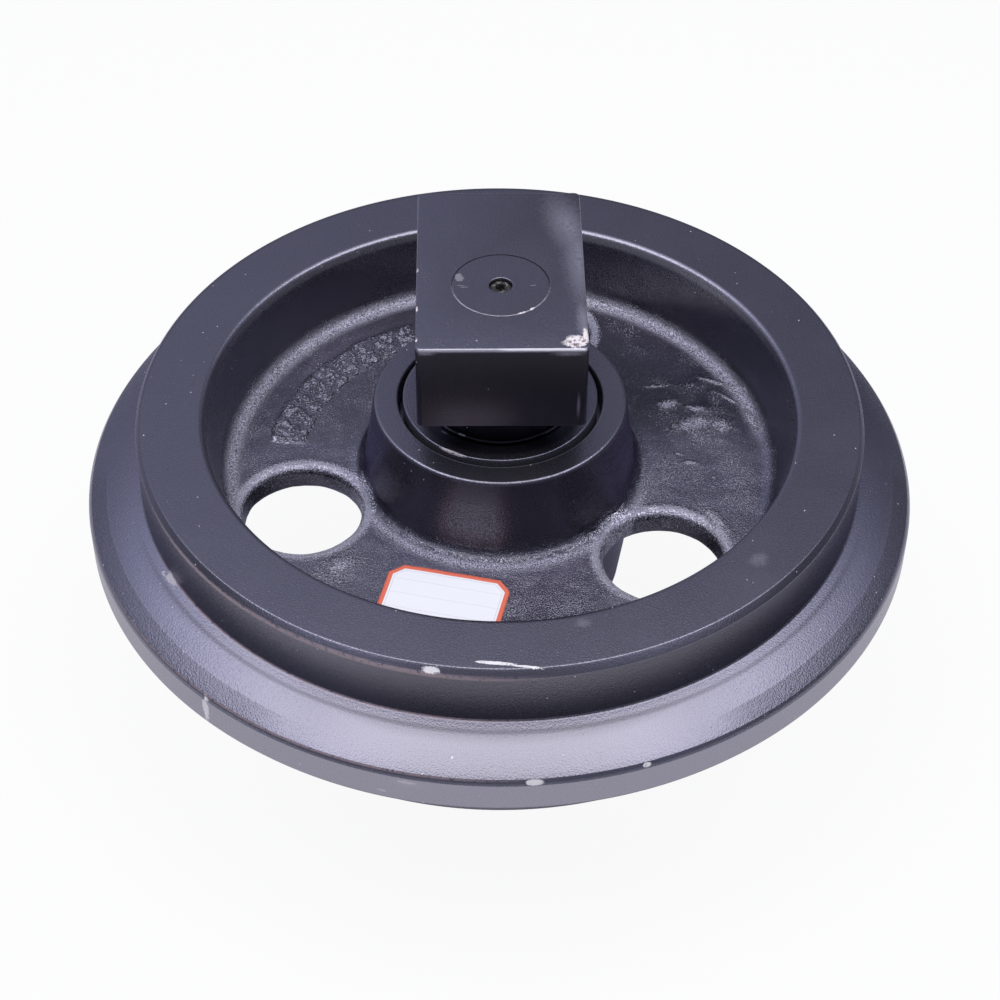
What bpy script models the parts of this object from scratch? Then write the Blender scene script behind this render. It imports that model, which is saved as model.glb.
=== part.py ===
"""Front idler of a crawler excavator: a cast wheel on a fixed shaft between two brackets.

The shaft stands upright on +Z. The origin is the middle of the hub on the shaft's axis, and the
long side of both bracket blocks points to +Y, where the track tensioner would push on them.
Everything is in metres. Each lower piece is the upper one turned half a turn about Y, but the
wheel's rim, web and guide flange lie a few millimetres off its middle, as they were cast.
"""

from math import atan2, cos, pi, radians, sin, tan

import bmesh
import bpy
from mathutils import Matrix, Vector

# Wheel rim, tread and guide flange
TREAD_DIAMETER = 0.386
RIM_UPPER_FACE = 0.0545
RIM_LOWER_FACE = 0.0500
RIM_CHAMFER = 0.0026
RIM_BORE_DIAMETER = 0.315
RIM_BORE_EDGE_RADIUS = 0.003
RIM_BORE_DRAFT = 0.0085
RECESS_FILLET = 0.008
FLANGE_DIAMETER = 0.4448
FLANGE_TIP_WIDTH = 0.0198
FLANGE_TIP_CHAMFER = 0.0031
FLANGE_BASE_WIDTH = 0.0438
FLANGE_SHOULDER_RADIUS = 0.1978
FLANGE_SHOULDER_DROP = 0.0015
FLANGE_CROWN = 0.0005
FLANGE_MIDDLE = -0.0008

# Web and its cast holes
WEB_THICKNESS = 0.016
WEB_MIDDLE = 0.005
WEB_HOLE_COUNT = 3
WEB_HOLE_DIAMETER = 0.0624
WEB_HOLE_DRAFT = 0.0003
WEB_HOLE_EDGE = 0.0030
WEB_HOLE_PITCH_RADIUS = 0.1115
WEB_HOLE_FIRST_ANGLE = radians(79)

# Hub
HUB_WIDTH = 0.1186
HUB_FACE_DIAMETER = 0.1340
HUB_BASE_DIAMETER = 0.1480
HUB_EDGE_RADIUS = 0.0016
HUB_FILLET = 0.008
HUB_COUNTERBORE_DIAMETER = 0.1088
HUB_COUNTERBORE_DEPTH = 0.0133
HUB_COUNTERBORE_CHAMFER = 0.0008
OIL_CHAMBER_WIDTH = 0.024
OIL_CHAMBER_DEPTH = 0.007

# Shaft
SHAFT_DIAMETER = 0.050
SHAFT_END_CHAMFER = 0.0010
SHAFT_END_SINK = 0.0002
OIL_PASSAGE_DIAMETER = 0.008
OIL_PASSAGE_PAST_MIDDLE = 0.006
OIL_CROSS_HOLE_DIAMETER = 0.006
CENTRE_DRILL_DIAMETER = 0.0076
CENTRE_DRILL_DEPTH = 0.0034

# Flanged bushes
BUSH_WALL = 0.0044
BUSH_FLANGE_RADIUS = 0.0370
BUSH_FLANGE_THICKNESS = 0.004
THRUST_FACE = 0.0453

# Brackets
BRACKET_SPAN = 0.270
BLOCK_HEIGHT = 0.0510
BLOCK_WIDTH = 0.0860
BLOCK_FRONT = 0.0512
BLOCK_BACK = 0.0785
BLOCK_CORNER_RADIUS = 0.003
BLOCK_EDGE_CHAMFER = 0.0009
NECK_DIAMETER = 0.076
NECK_FILLET = 0.0015
SEAL_COVER_DIAMETER = 0.1033
SEAL_COVER_PROUD = 0.0017
SEAL_COVER_CHAMFER = 0.0006
SEAL_COVER_LABYRINTH = 0.0012
SEAL_COVER_PAST_NECK = 0.006

# Floating face seals, one pair of metal rings and one pair of rubber rings on each side
SEAL_FACE_HEIGHT = 0.0464
SEAL_POCKET_DEPTH = 0.0104
SEAL_POCKET_RADIUS = 0.0456
SEAL_POCKET_FLARE = 0.0020
SEAL_RING_BORE_RADIUS = 0.0392
SEAL_RING_RADIUS = 0.0462
SEAL_RING_LIP = 0.0024
SEAL_RING_LENGTH = 0.0087
SEAL_RING_NECK_RADIUS = 0.0421
SEAL_RUBBER_SECTION = 0.0034
SEAL_RUBBER_DROP = 0.0065

# Shaft O-rings
SHAFT_O_RING_HEIGHT = 0.0700
SHAFT_O_RING_GROOVE_WIDTH = 0.0036
SHAFT_O_RING_GROOVE_DEPTH = 0.0026

# Lock pins
LOCK_PIN_DIAMETER = 0.014
LOCK_PIN_OFFSET = 0.021
LOCK_PIN_CHAMFER = 0.0012
LOCK_PIN_END_SINK = 0.001

# Oil filling plug and its sealing ring
PLUG_DIAMETER = 0.0112
PLUG_LENGTH = 0.0100
PLUG_SINK = 0.0016
PLUG_CHAMFER = 0.0006
PLUG_SOCKET_WIDTH = 0.0055
PLUG_SOCKET_DEPTH = 0.0055
PLUG_RING_SECTION = 0.0014

# Fits
FIT = 0.0003
SEAL_FACE_GAP = 0.0003

# Facets
WHEEL_STEPS = 56
HOLE_STEPS = 20
SHAFT_STEPS = 32
RING_STEPS = 28
RUBBER_SIDES = 5
PLUG_STEPS = 16
SHARP_ANGLE = radians(32)
MERGE = 0.00001

# Worked out from the sizes above
SHAFT_RADIUS = SHAFT_DIAMETER / 2
SHAFT_BORE_RADIUS = SHAFT_RADIUS + FIT
BUSH_RADIUS = SHAFT_BORE_RADIUS + BUSH_WALL
HUB_BORE_RADIUS = BUSH_RADIUS + FIT
SPAN_END = BRACKET_SPAN / 2
BLOCK_UNDERSIDE = SPAN_END - BLOCK_HEIGHT
BLOCK_MIDDLE = SPAN_END - BLOCK_HEIGHT / 2
SHAFT_END = SPAN_END - SHAFT_END_SINK
HUB_FACE = HUB_WIDTH / 2
COUNTERBORE_FLOOR = HUB_FACE - HUB_COUNTERBORE_DEPTH
SEAL_POCKET_FLOOR = SEAL_FACE_HEIGHT - SEAL_POCKET_DEPTH
BUSH_SEAT = THRUST_FACE - BUSH_FLANGE_THICKNESS - FIT
HUB_TUBE_RADIUS = SEAL_RING_BORE_RADIUS - 2 * FIT
PLUG_HOLE_RADIUS = PLUG_DIAMETER / 2 + FIT
PLUG_TOP = SHAFT_END - PLUG_SINK
PLUG_BOTTOM = PLUG_TOP - PLUG_LENGTH
PLUG_LEDGE = PLUG_BOTTOM - PLUG_RING_SECTION - 2 * FIT

PLUG_STEEL = (0.56, 0.55, 0.52, 1.0)
BLACK_PAINT = (0.045, 0.043, 0.055, 1.0)
BRONZE = (0.55, 0.33, 0.14, 1.0)
BLACK_RUBBER = (0.02, 0.02, 0.02, 1.0)
SEAL_IRON = (0.32, 0.32, 0.33, 1.0)
PIN_STEEL = (0.30, 0.29, 0.28, 1.0)


def clear_scene():
    """Take every object out of the open file."""
    for old in list(bpy.data.objects):
        bpy.data.objects.remove(old, do_unlink=True)


def new_collection(name):
    """Make a collection in the scene."""
    made = bpy.data.collections.new(name)
    bpy.context.scene.collection.children.link(made)
    return made


def finish_of(name, colour, roughness, metallic):
    """Make a plain material for one piece."""
    made = bpy.data.materials.new(name)
    made.use_nodes = True
    shader = made.node_tree.nodes["Principled BSDF"]
    shader.inputs["Base Color"].default_value = colour
    shader.inputs["Roughness"].default_value = roughness
    shader.inputs["Metallic"].default_value = metallic
    return made


def rounded(corners):
    """Turn corners (r, z) or (r, z, radius, cuts) into points, with arcs at the given radii."""
    points = []
    count = len(corners)
    for index, corner in enumerate(corners):
        here = Vector(corner[:2])
        if len(corner) == 2:
            points.append(here)
            continue
        before = Vector(corners[index - 1][:2]) - here
        after = Vector(corners[(index + 1) % count][:2]) - here
        half = before.angle(after) / 2
        reach = min(corner[2] / tan(half), before.length * 0.48, after.length * 0.48)
        radius = reach * tan(half)
        centre = here + (before.normalized() + after.normalized()).normalized() * radius / sin(half)
        first = here + before.normalized() * reach - centre
        last = here + after.normalized() * reach - centre
        begin = atan2(first.y, first.x)
        sweep = (atan2(last.y, last.x) - begin + pi) % (2 * pi) - pi
        for step in range(corner[3] + 1):
            angle = begin + sweep * step / corner[3]
            points.append(centre + radius * Vector((cos(angle), sin(angle))))
    return points


def turned(name, corners, steps, group):
    """Turn a profile about the shaft's axis.

    The profile runs clockwise with z up. It is closed, or starts and ends on the axis.
    """
    points = rounded(corners)
    edges = [(index, index + 1) for index in range(len(points) - 1)]
    if points[0].x > 0.0:
        edges.append((len(points) - 1, 0))
    mesh = bpy.data.meshes.new(name)
    mesh.from_pydata([(r, 0.0, z) for r, z in points], edges, [])
    made = bpy.data.objects.new(name, mesh)
    group.objects.link(made)
    screw = made.modifiers.new("turn", "SCREW")
    screw.axis = "Z"
    screw.angle = 2 * pi
    screw.steps = steps
    screw.render_steps = steps
    screw.use_merge_vertices = True
    screw.merge_threshold = MERGE
    return made


def rod(name, radius, length, centre, axis, steps, group):
    """Make a plain cylinder of the given length about a centre, along X, Y or Z."""
    turn = {"X": Matrix.Rotation(pi / 2, 4, "Y"), "Y": Matrix.Rotation(pi / 2, 4, "X"), "Z": Matrix()}
    form = bmesh.new()
    bmesh.ops.create_cone(
        form, cap_ends=True, segments=steps, radius1=radius, radius2=radius, depth=length,
        matrix=Matrix.Translation(centre) @ turn[axis],
    )
    mesh = bpy.data.meshes.new(name)
    form.to_mesh(mesh)
    form.free()
    made = bpy.data.objects.new(name, mesh)
    group.objects.link(made)
    return made


def combine(target, tool, operation):
    """Cut a tool out of a target, or join it to the target."""
    step = target.modifiers.new(tool.name, "BOOLEAN")
    step.object = tool
    step.operation = operation
    step.solver = "EXACT"
    tool.hide_render = True
    tool.display_type = "WIRE"


def settle(piece, finish):
    """Keep a piece's evaluated mesh, shade it smooth between its edges and give it its finish."""
    graph = bpy.context.evaluated_depsgraph_get()
    mesh = bpy.data.meshes.new_from_object(piece.evaluated_get(graph))
    mesh.name = piece.name
    piece.modifiers.clear()
    piece.data = mesh
    mesh.materials.clear()
    mesh.materials.append(finish)
    mesh.shade_smooth()
    mesh.set_sharp_from_angle(angle=SHARP_ANGLE)
    return piece


def other_side(piece, name, group):
    """Make the lower copy of an upper piece by half a turn about Y."""
    copy = bpy.data.objects.new(name, piece.data.copy())
    copy.rotation_euler = (0.0, pi, 0.0)
    group.objects.link(copy)
    return copy


def wheel_half(web, flange_middle, rim_face):
    """One side of the wheel's section, from the oil chamber over hub, dish and rim to the guide flange.

    Heights count from the wheel's middle plane towards this side.
    """
    tread = TREAD_DIAMETER / 2
    rim_bore = RIM_BORE_DIAMETER / 2
    base = flange_middle + FLANGE_BASE_WIDTH / 2
    tip = Vector((FLANGE_DIAMETER / 2, flange_middle + FLANGE_TIP_WIDTH / 2))
    shoulder = Vector((FLANGE_SHOULDER_RADIUS, base - FLANGE_SHOULDER_DROP))
    flank = (shoulder + tip) / 2 + Vector((0.0, FLANGE_CROWN))
    return [
        (HUB_BORE_RADIUS + OIL_CHAMBER_DEPTH, OIL_CHAMBER_WIDTH / 2 - OIL_CHAMBER_DEPTH / 2),
        (HUB_BORE_RADIUS, OIL_CHAMBER_WIDTH / 2),
        (HUB_BORE_RADIUS, BUSH_SEAT),
        (HUB_TUBE_RADIUS, BUSH_SEAT),
        (HUB_TUBE_RADIUS, SEAL_POCKET_FLOOR),
        (SEAL_POCKET_RADIUS, SEAL_POCKET_FLOOR),
        (SEAL_POCKET_RADIUS + SEAL_POCKET_FLARE, COUNTERBORE_FLOOR),
        (HUB_COUNTERBORE_DIAMETER / 2, COUNTERBORE_FLOOR),
        (HUB_COUNTERBORE_DIAMETER / 2, HUB_FACE, HUB_COUNTERBORE_CHAMFER, 1),
        (HUB_FACE_DIAMETER / 2, HUB_FACE, HUB_EDGE_RADIUS, 1),
        (HUB_BASE_DIAMETER / 2, web, HUB_FILLET, 2),
        (rim_bore - RIM_BORE_DRAFT, web, RECESS_FILLET, 2),
        (rim_bore, rim_face, RIM_BORE_EDGE_RADIUS, 1),
        (tread, rim_face, RIM_CHAMFER, 1),
        (tread, base),
        (shoulder.x, shoulder.y),
        (flank.x, flank.y),
        (tip.x, tip.y, FLANGE_TIP_CHAMFER, 1),
    ]


def make_wheel(parts, tools):
    """Cast wheel: treads, guide flange, dished web with holes, and the hub with its seal pockets."""
    upper = wheel_half(WEB_THICKNESS / 2 + WEB_MIDDLE, FLANGE_MIDDLE, RIM_UPPER_FACE)
    lower = wheel_half(WEB_THICKNESS / 2 - WEB_MIDDLE, -FLANGE_MIDDLE, RIM_LOWER_FACE)
    mirrored = [(r, -z, *rest) for r, z, *rest in reversed(lower)]
    wheel = turned("idler_wheel", upper + mirrored, WHEEL_STEPS, parts)
    for number in range(WEB_HOLE_COUNT):
        angle = WEB_HOLE_FIRST_ANGLE + 2 * pi * number / WEB_HOLE_COUNT
        cutter = web_hole_cutter(number + 1, angle, tools)
        combine(wheel, cutter, "DIFFERENCE")
    return wheel


def web_hole_cutter(number, angle, tools):
    """Core of one cast web hole: narrowest in the middle of the web, with bevelled mouths."""
    waist = WEB_HOLE_DIAMETER / 2
    web = WEB_THICKNESS / 2
    mouth = waist + WEB_HOLE_DRAFT
    flare = mouth + 2 * WEB_HOLE_EDGE
    upper = [
        (0.0, web + WEB_HOLE_EDGE),
        (flare, web + WEB_HOLE_EDGE),
        (mouth, web - WEB_HOLE_EDGE),
    ]
    lower = [(r, -z) for r, z in reversed(upper)]
    cutter = turned(f"web_hole_cutter_{number}", upper + [(waist, 0.0)] + lower, HOLE_STEPS, tools)
    place = (WEB_HOLE_PITCH_RADIUS * cos(angle), WEB_HOLE_PITCH_RADIUS * sin(angle), WEB_MIDDLE)
    cutter.location = place
    return cutter


def make_shaft(parts, tools):
    """Fixed shaft: O-ring grooves, oil passage from the upper end, and notches for the lock pins."""
    groove_low = SHAFT_O_RING_HEIGHT - SHAFT_O_RING_GROOVE_WIDTH / 2
    groove_high = SHAFT_O_RING_HEIGHT + SHAFT_O_RING_GROOVE_WIDTH / 2
    groove_radius = SHAFT_RADIUS - SHAFT_O_RING_GROOVE_DEPTH
    passage = OIL_PASSAGE_DIAMETER / 2
    upper_groove = [
        (SHAFT_RADIUS, groove_high), (groove_radius, groove_high),
        (groove_radius, groove_low), (SHAFT_RADIUS, groove_low),
    ]
    lower_groove = [(r, -z) for r, z in reversed(upper_groove)]
    corners = [
        (0.0, -OIL_PASSAGE_PAST_MIDDLE - passage / 2),
        (passage, -OIL_PASSAGE_PAST_MIDDLE),
        (passage, PLUG_LEDGE),
        (PLUG_HOLE_RADIUS, PLUG_LEDGE),
        (PLUG_HOLE_RADIUS, SHAFT_END),
        (SHAFT_RADIUS, SHAFT_END, SHAFT_END_CHAMFER, 1),
        *upper_groove,
        *lower_groove,
        (SHAFT_RADIUS, -SHAFT_END, SHAFT_END_CHAMFER, 1),
        (CENTRE_DRILL_DIAMETER / 2, -SHAFT_END),
        (0.0, -SHAFT_END + CENTRE_DRILL_DEPTH),
    ]
    shaft = turned("idler_shaft", corners, SHAFT_STEPS, parts)
    cross = rod("oil_cross_hole_cutter", OIL_CROSS_HOLE_DIAMETER / 2, 2 * SHAFT_DIAMETER,
                (0.0, 0.0, 0.0), "X", PLUG_STEPS, tools)
    combine(shaft, cross, "DIFFERENCE")
    for side, label in ((1, "upper"), (-1, "lower")):
        notch = rod(f"shaft_notch_cutter_{label}", LOCK_PIN_DIAMETER / 2 + FIT, 2 * SHAFT_DIAMETER,
                    (0.0, LOCK_PIN_OFFSET, side * BLOCK_MIDDLE), "X", PLUG_STEPS, tools)
        combine(shaft, notch, "DIFFERENCE")
    return shaft


def make_bracket(parts, tools):
    """Upper bracket: guide block with the shaft bore, and below it the neck and the seal cover."""
    block = rounded_block("bracket_upper", parts)
    combine(block, seal_cover_form(tools), "UNION")
    bore = rod("bracket_bore_cutter", SHAFT_BORE_RADIUS, BRACKET_SPAN,
               (0.0, 0.0, SPAN_END), "Z", SHAFT_STEPS, tools)
    combine(block, bore, "DIFFERENCE")
    pin_hole = rod("lock_pin_hole_cutter", LOCK_PIN_DIAMETER / 2 + FIT, 2 * BLOCK_WIDTH,
                   (0.0, LOCK_PIN_OFFSET, BLOCK_MIDDLE), "X", PLUG_STEPS, tools)
    combine(block, pin_hole, "DIFFERENCE")
    return block


def rounded_block(name, group):
    """Rectangular block, longer behind the shaft, with round upright corners and eased edges."""
    form = bmesh.new()
    middle = Vector((0.0, (BLOCK_BACK - BLOCK_FRONT) / 2, BLOCK_MIDDLE))
    size = Vector((BLOCK_WIDTH, BLOCK_FRONT + BLOCK_BACK, BLOCK_HEIGHT))
    bmesh.ops.create_cube(form, size=1.0, matrix=Matrix.Translation(middle) @ Matrix.Diagonal(size.to_4d()))
    upright = [edge for edge in form.edges if abs(edge.verts[0].co.z - edge.verts[1].co.z) > MERGE]
    bmesh.ops.bevel(form, geom=upright, offset=BLOCK_CORNER_RADIUS, offset_type="OFFSET",
                    segments=2, profile=0.5, affect="EDGES")
    level = [edge for edge in form.edges if abs(edge.verts[0].co.z - edge.verts[1].co.z) < MERGE]
    bmesh.ops.bevel(form, geom=level, offset=BLOCK_EDGE_CHAMFER, offset_type="OFFSET",
                    segments=1, profile=0.5, affect="EDGES")
    mesh = bpy.data.meshes.new(name)
    form.to_mesh(mesh)
    form.free()
    made = bpy.data.objects.new(name, mesh)
    group.objects.link(made)
    return made


def seal_cover_form(tools):
    """Turned lower part of a bracket: neck, round seal cover, seal pocket and thrust boss."""
    cover_top = HUB_FACE + SEAL_COVER_PROUD
    cover_low = COUNTERBORE_FLOOR + SEAL_COVER_LABYRINTH
    pocket_floor = SEAL_FACE_HEIGHT + SEAL_POCKET_DEPTH
    boss = BUSH_FLANGE_RADIUS + FIT
    corners = [
        (0.0, THRUST_FACE + FIT),
        (boss, THRUST_FACE + FIT),
        (boss, pocket_floor),
        (SEAL_POCKET_RADIUS, pocket_floor),
        (SEAL_POCKET_RADIUS + SEAL_POCKET_FLARE, cover_low),
        (SEAL_COVER_DIAMETER / 2, cover_low),
        (SEAL_COVER_DIAMETER / 2, cover_top, SEAL_COVER_CHAMFER, 1),
        (NECK_DIAMETER / 2, cover_top, NECK_FILLET, 2),
        (NECK_DIAMETER / 2, BLOCK_UNDERSIDE + SEAL_COVER_PAST_NECK),
        (0.0, BLOCK_UNDERSIDE + SEAL_COVER_PAST_NECK),
    ]
    return turned("seal_cover_form", corners[::-1], SHAFT_STEPS, tools)


def make_bush(parts):
    """Upper flanged bush, pressed into the hub."""
    corners = [
        (SHAFT_BORE_RADIUS, OIL_CHAMBER_WIDTH / 2 + FIT),
        (SHAFT_BORE_RADIUS, THRUST_FACE),
        (BUSH_FLANGE_RADIUS, THRUST_FACE),
        (BUSH_FLANGE_RADIUS, BUSH_SEAT + FIT),
        (BUSH_RADIUS, BUSH_SEAT + FIT),
        (BUSH_RADIUS, OIL_CHAMBER_WIDTH / 2 + FIT),
    ]
    return turned("bush_upper", corners, SHAFT_STEPS, parts)


def seal_profile(direction):
    """Section of a metal seal ring whose face looks up (direction 1) or down (direction -1)."""
    face = SEAL_FACE_HEIGHT - direction * SEAL_FACE_GAP / 2
    lip = face - direction * SEAL_RING_LIP
    tail = face - direction * SEAL_RING_LENGTH
    lip_root = lip - direction * (SEAL_RING_RADIUS - SEAL_RING_NECK_RADIUS) / 3
    corners = [
        (SEAL_RING_BORE_RADIUS, tail),
        (SEAL_RING_BORE_RADIUS, face),
        (SEAL_RING_RADIUS, face),
        (SEAL_RING_RADIUS, lip),
        (SEAL_RING_NECK_RADIUS, lip_root),
        (SEAL_RING_NECK_RADIUS, tail),
    ]
    return corners if direction > 0 else corners[::-1]


def ring_of_rubber(name, radius, height, section, steps, group):
    """Round rubber ring about the shaft's axis."""
    corners = []
    for side in range(RUBBER_SIDES):
        angle = -2 * pi * (side + 0.5) / RUBBER_SIDES
        corners.append((radius + section / 2 * cos(angle), height + section / 2 * sin(angle)))
    return turned(name, corners, steps, group)


def make_seal_rubbers(parts):
    """Rubber rings that carry the two metal seal rings of the upper side."""
    low = SEAL_FACE_HEIGHT - SEAL_RUBBER_DROP
    high = SEAL_FACE_HEIGHT + SEAL_RUBBER_DROP
    radius = SEAL_RING_NECK_RADIUS + FIT + SEAL_RUBBER_SECTION / 2
    section = SEAL_RUBBER_SECTION
    turning = ring_of_rubber("seal_rubber_turning_upper", radius, low, section, RING_STEPS, parts)
    fixed = ring_of_rubber("seal_rubber_fixed_upper", radius, high, section, RING_STEPS, parts)
    return turning, fixed


def make_lock_pin(parts):
    """Cross pin that holds the shaft in the upper bracket, in a notch of the shaft's side."""
    length = BLOCK_WIDTH - 2 * LOCK_PIN_END_SINK
    pin = rod("lock_pin_upper", LOCK_PIN_DIAMETER / 2, length,
              (0.0, LOCK_PIN_OFFSET, BLOCK_MIDDLE), "X", PLUG_STEPS, parts)
    ease = pin.modifiers.new("ease", "BEVEL")
    ease.width = LOCK_PIN_CHAMFER
    ease.segments = 1
    ease.limit_method = "ANGLE"
    ease.angle_limit = radians(60)
    return pin


def make_plug(parts, tools):
    """Oil filling plug with a hexagon socket, sunk in the upper end of the shaft."""
    radius = PLUG_DIAMETER / 2
    corners = [
        (0.0, PLUG_TOP),
        (radius, PLUG_TOP, PLUG_CHAMFER, 1),
        (radius, PLUG_BOTTOM, PLUG_CHAMFER, 1),
        (0.0, PLUG_BOTTOM),
    ]
    plug = turned("oil_fill_plug", corners, PLUG_STEPS, parts)
    socket = rod("plug_socket_cutter", PLUG_SOCKET_WIDTH / 2 / cos(pi / 6), 2 * PLUG_SOCKET_DEPTH,
                 (0.0, 0.0, PLUG_TOP), "Z", 6, tools)
    combine(plug, socket, "DIFFERENCE")
    return plug


def main():
    """Build the whole idler."""
    clear_scene()
    parts = new_collection("excavator_front_idler")
    tools = new_collection("cutters")

    paint = finish_of("black_paint", BLACK_PAINT, 0.35, 0.0)
    painted_steel = finish_of("painted_steel", BLACK_PAINT, 0.40, 0.0)
    shaft_steel = finish_of("shaft_steel", BLACK_PAINT, 0.38, 0.0)
    bronze = finish_of("bush_bronze", BRONZE, 0.35, 1.0)
    seal_iron = finish_of("seal_iron", SEAL_IRON, 0.25, 1.0)
    rubber = finish_of("seal_rubber", BLACK_RUBBER, 0.7, 0.0)
    pin_steel = finish_of("pin_steel", PIN_STEEL, 0.45, 1.0)
    plug_steel = finish_of("plug_steel", PLUG_STEEL, 0.40, 1.0)

    wheel = make_wheel(parts, tools)
    settle(wheel, paint)
    settle(make_shaft(parts, tools), shaft_steel)
    bracket = settle(make_bracket(parts, tools), painted_steel)
    bush = settle(make_bush(parts), bronze)
    turning_ring = settle(turned("seal_ring_turning_upper", seal_profile(1), RING_STEPS, parts), seal_iron)
    fixed_ring = settle(turned("seal_ring_fixed_upper", seal_profile(-1), RING_STEPS, parts), seal_iron)
    turning_rubber, fixed_rubber = (settle(ring, rubber) for ring in make_seal_rubbers(parts))
    o_ring = settle(ring_of_rubber(
        "shaft_o_ring_upper", SHAFT_RADIUS - SHAFT_O_RING_GROOVE_DEPTH / 2 + FIT / 2, SHAFT_O_RING_HEIGHT,
        SHAFT_O_RING_GROOVE_DEPTH - FIT, RING_STEPS, parts), rubber)
    pin = settle(make_lock_pin(parts), pin_steel)
    settle(make_plug(parts, tools), plug_steel)
    settle(ring_of_rubber(
        "plug_seal_ring", PLUG_HOLE_RADIUS - FIT - PLUG_RING_SECTION / 2,
        PLUG_LEDGE + FIT + PLUG_RING_SECTION / 2, PLUG_RING_SECTION, PLUG_STEPS, parts), rubber)

    for upper in (bracket, bush, turning_ring, fixed_ring, turning_rubber, fixed_rubber, o_ring, pin):
        other_side(upper, upper.name.replace("upper", "lower"), parts)

    turning = bpy.data.objects.new("wheel_axis", None)
    parts.objects.link(turning)
    for piece in parts.objects:
        if piece.name.startswith(("idler_wheel", "bush", "seal_ring_turning", "seal_rubber_turning")):
            piece.parent = turning


main()
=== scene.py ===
"""Finished look of an excavator's front idler.

A cast wheel, two bracket blocks and a shaft under black satin paint. The paint is lumpy where the iron is as cast,
even where it was machined, and worn through on the blocks' edges. Lengths are in metres and the shaft lies along Z.
"""
from math import atan2, ceil, cos, pi, radians, sin, tan

import bmesh
import bpy
from mathutils import Matrix, Vector
from mathutils.bvhtree import BVHTree


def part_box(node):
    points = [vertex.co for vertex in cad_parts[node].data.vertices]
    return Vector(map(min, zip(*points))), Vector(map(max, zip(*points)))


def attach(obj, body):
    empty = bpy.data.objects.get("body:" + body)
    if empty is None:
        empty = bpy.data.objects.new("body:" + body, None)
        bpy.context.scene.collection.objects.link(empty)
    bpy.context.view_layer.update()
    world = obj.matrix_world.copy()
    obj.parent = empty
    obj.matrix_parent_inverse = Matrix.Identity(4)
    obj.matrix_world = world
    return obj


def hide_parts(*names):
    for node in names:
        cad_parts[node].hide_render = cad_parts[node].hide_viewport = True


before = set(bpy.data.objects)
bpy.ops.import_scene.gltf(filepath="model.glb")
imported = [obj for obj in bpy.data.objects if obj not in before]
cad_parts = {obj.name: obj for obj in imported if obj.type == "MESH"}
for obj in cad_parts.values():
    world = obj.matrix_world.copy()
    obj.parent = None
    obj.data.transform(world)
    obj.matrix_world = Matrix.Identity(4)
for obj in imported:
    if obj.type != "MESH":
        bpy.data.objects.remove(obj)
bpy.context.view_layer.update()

# Wheel, taken from the frame or repeated from the design
WHEEL_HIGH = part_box("idler_wheel")[1]
FLANGE_RADIUS = WHEEL_HIGH.x
HUB_FACE = WHEEL_HIGH.z
TREAD_RADIUS = 0.193
RIM_FACE = 0.0545
RIM_LOWER_FACE = 0.0500
RIM_CHAMFER = 0.0026
RIM_CHAMFER_SWAY = 0.0014
RIM_BORE_RADIUS = 0.1575
RIM_BORE_FOOT_RADIUS = 0.149
RIM_BORE_EDGE = 0.003
RECESS_FILLET = 0.008
FLANGE_MIDDLE = -0.0008
FLANGE_BASE = 0.0219
FLANGE_SHOULDER_RADIUS = 0.1978
FLANGE_SHOULDER = 0.0204
FLANGE_EDGE_RADIUS = 0.2206
FLANGE_EDGE = 0.0107
FLANGE_FACE = 0.0079
FLANGE_CROWN = 0.0005
EASED_EDGE = 0.0007
WEB_MIDDLE = 0.005
WEB_HALF = 0.008
HUB_FACE_RADIUS = 0.067
HUB_BASE_RADIUS = 0.074
HUB_EDGE = 0.0016
HUB_FILLET = 0.008
COUNTERBORE_RADIUS = 0.0544
COUNTERBORE_EDGE = 0.0008
COUNTERBORE_FLOOR = 0.0460
SEAL_POCKET_RADIUS = 0.0456
SEAL_POCKET_MOUTH = 0.0476
SEAL_POCKET_FLOOR = 0.0360
HUB_TUBE_RADIUS = 0.0386
HUB_BORE_RADIUS = 0.0300
BUSH_SEAT = 0.0410
OIL_CHAMBER_RADIUS = 0.0370
OIL_CHAMBER_HALF = 0.0120
OIL_CHAMBER_BEVEL = 0.0035
TREAD_FILLET = 0.0012
HOLE_COUNT = 3
HOLE_CIRCLE = 0.1115
FIRST_HOLE = radians(79)
HOLE_RADIUS = 0.0313
HOLE_MOUTH_FILLET = 0.005
HOLE_MOUTH_SLOPE = radians(25)
HOLE_EDGE_DROP = 0.363 * HOLE_MOUTH_FILLET
HOLE_EDGE_RADIUS = HOLE_RADIUS + HOLE_EDGE_DROP / tan(HOLE_MOUTH_SLOPE)
CORE_OVERLAP = 0.003
MARKS_CIRCLE = 0.1175
MARKS_START = radians(114)
MARKS_STEP = radians(6.35)
MARKS_COUNT = 9
SCAB_CIRCLE = 0.1200

# Blocks, neck, seal covers and shaft
BLOCK_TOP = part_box("bracket_upper")[1].z
BLOCK_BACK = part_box("bracket_upper")[1].y
BLOCK_FRONT = -0.0512
BLOCK_HALF_WIDTH = 0.043
BLOCK_UNDERSIDE = 0.084
BLOCK_CORNER = 0.003
BLOCK_EDGE = 0.0011
NECK_RADIUS = 0.038
NECK_FILLET = 0.0015
NECK_OVERLAP = 0.006
COVER_RADIUS = 0.05165
COVER_TOP = 0.0610
COVER_LOW = 0.0472
COVER_EDGE = 0.0007
POCKET_TOP = 0.0568
BOSS_RADIUS = 0.0373
BOSS_LOW = 0.0456
SHAFT_RADIUS = 0.025
SHAFT_GAP = 0.00012
SHAFT_EDGE = 0.0005
SHAFT_END = 0.1348
PIN_RADIUS = 0.0073
PIN_OFFSET = 0.021
PIN_HEIGHT = 0.1095
GROOVE_HEIGHT = 0.0700
GROOVE_HALF = 0.0018
GROOVE_RADIUS = 0.0224
OIL_HOLE_RADIUS = 0.004
OIL_HOLE_END = -0.006
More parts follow.
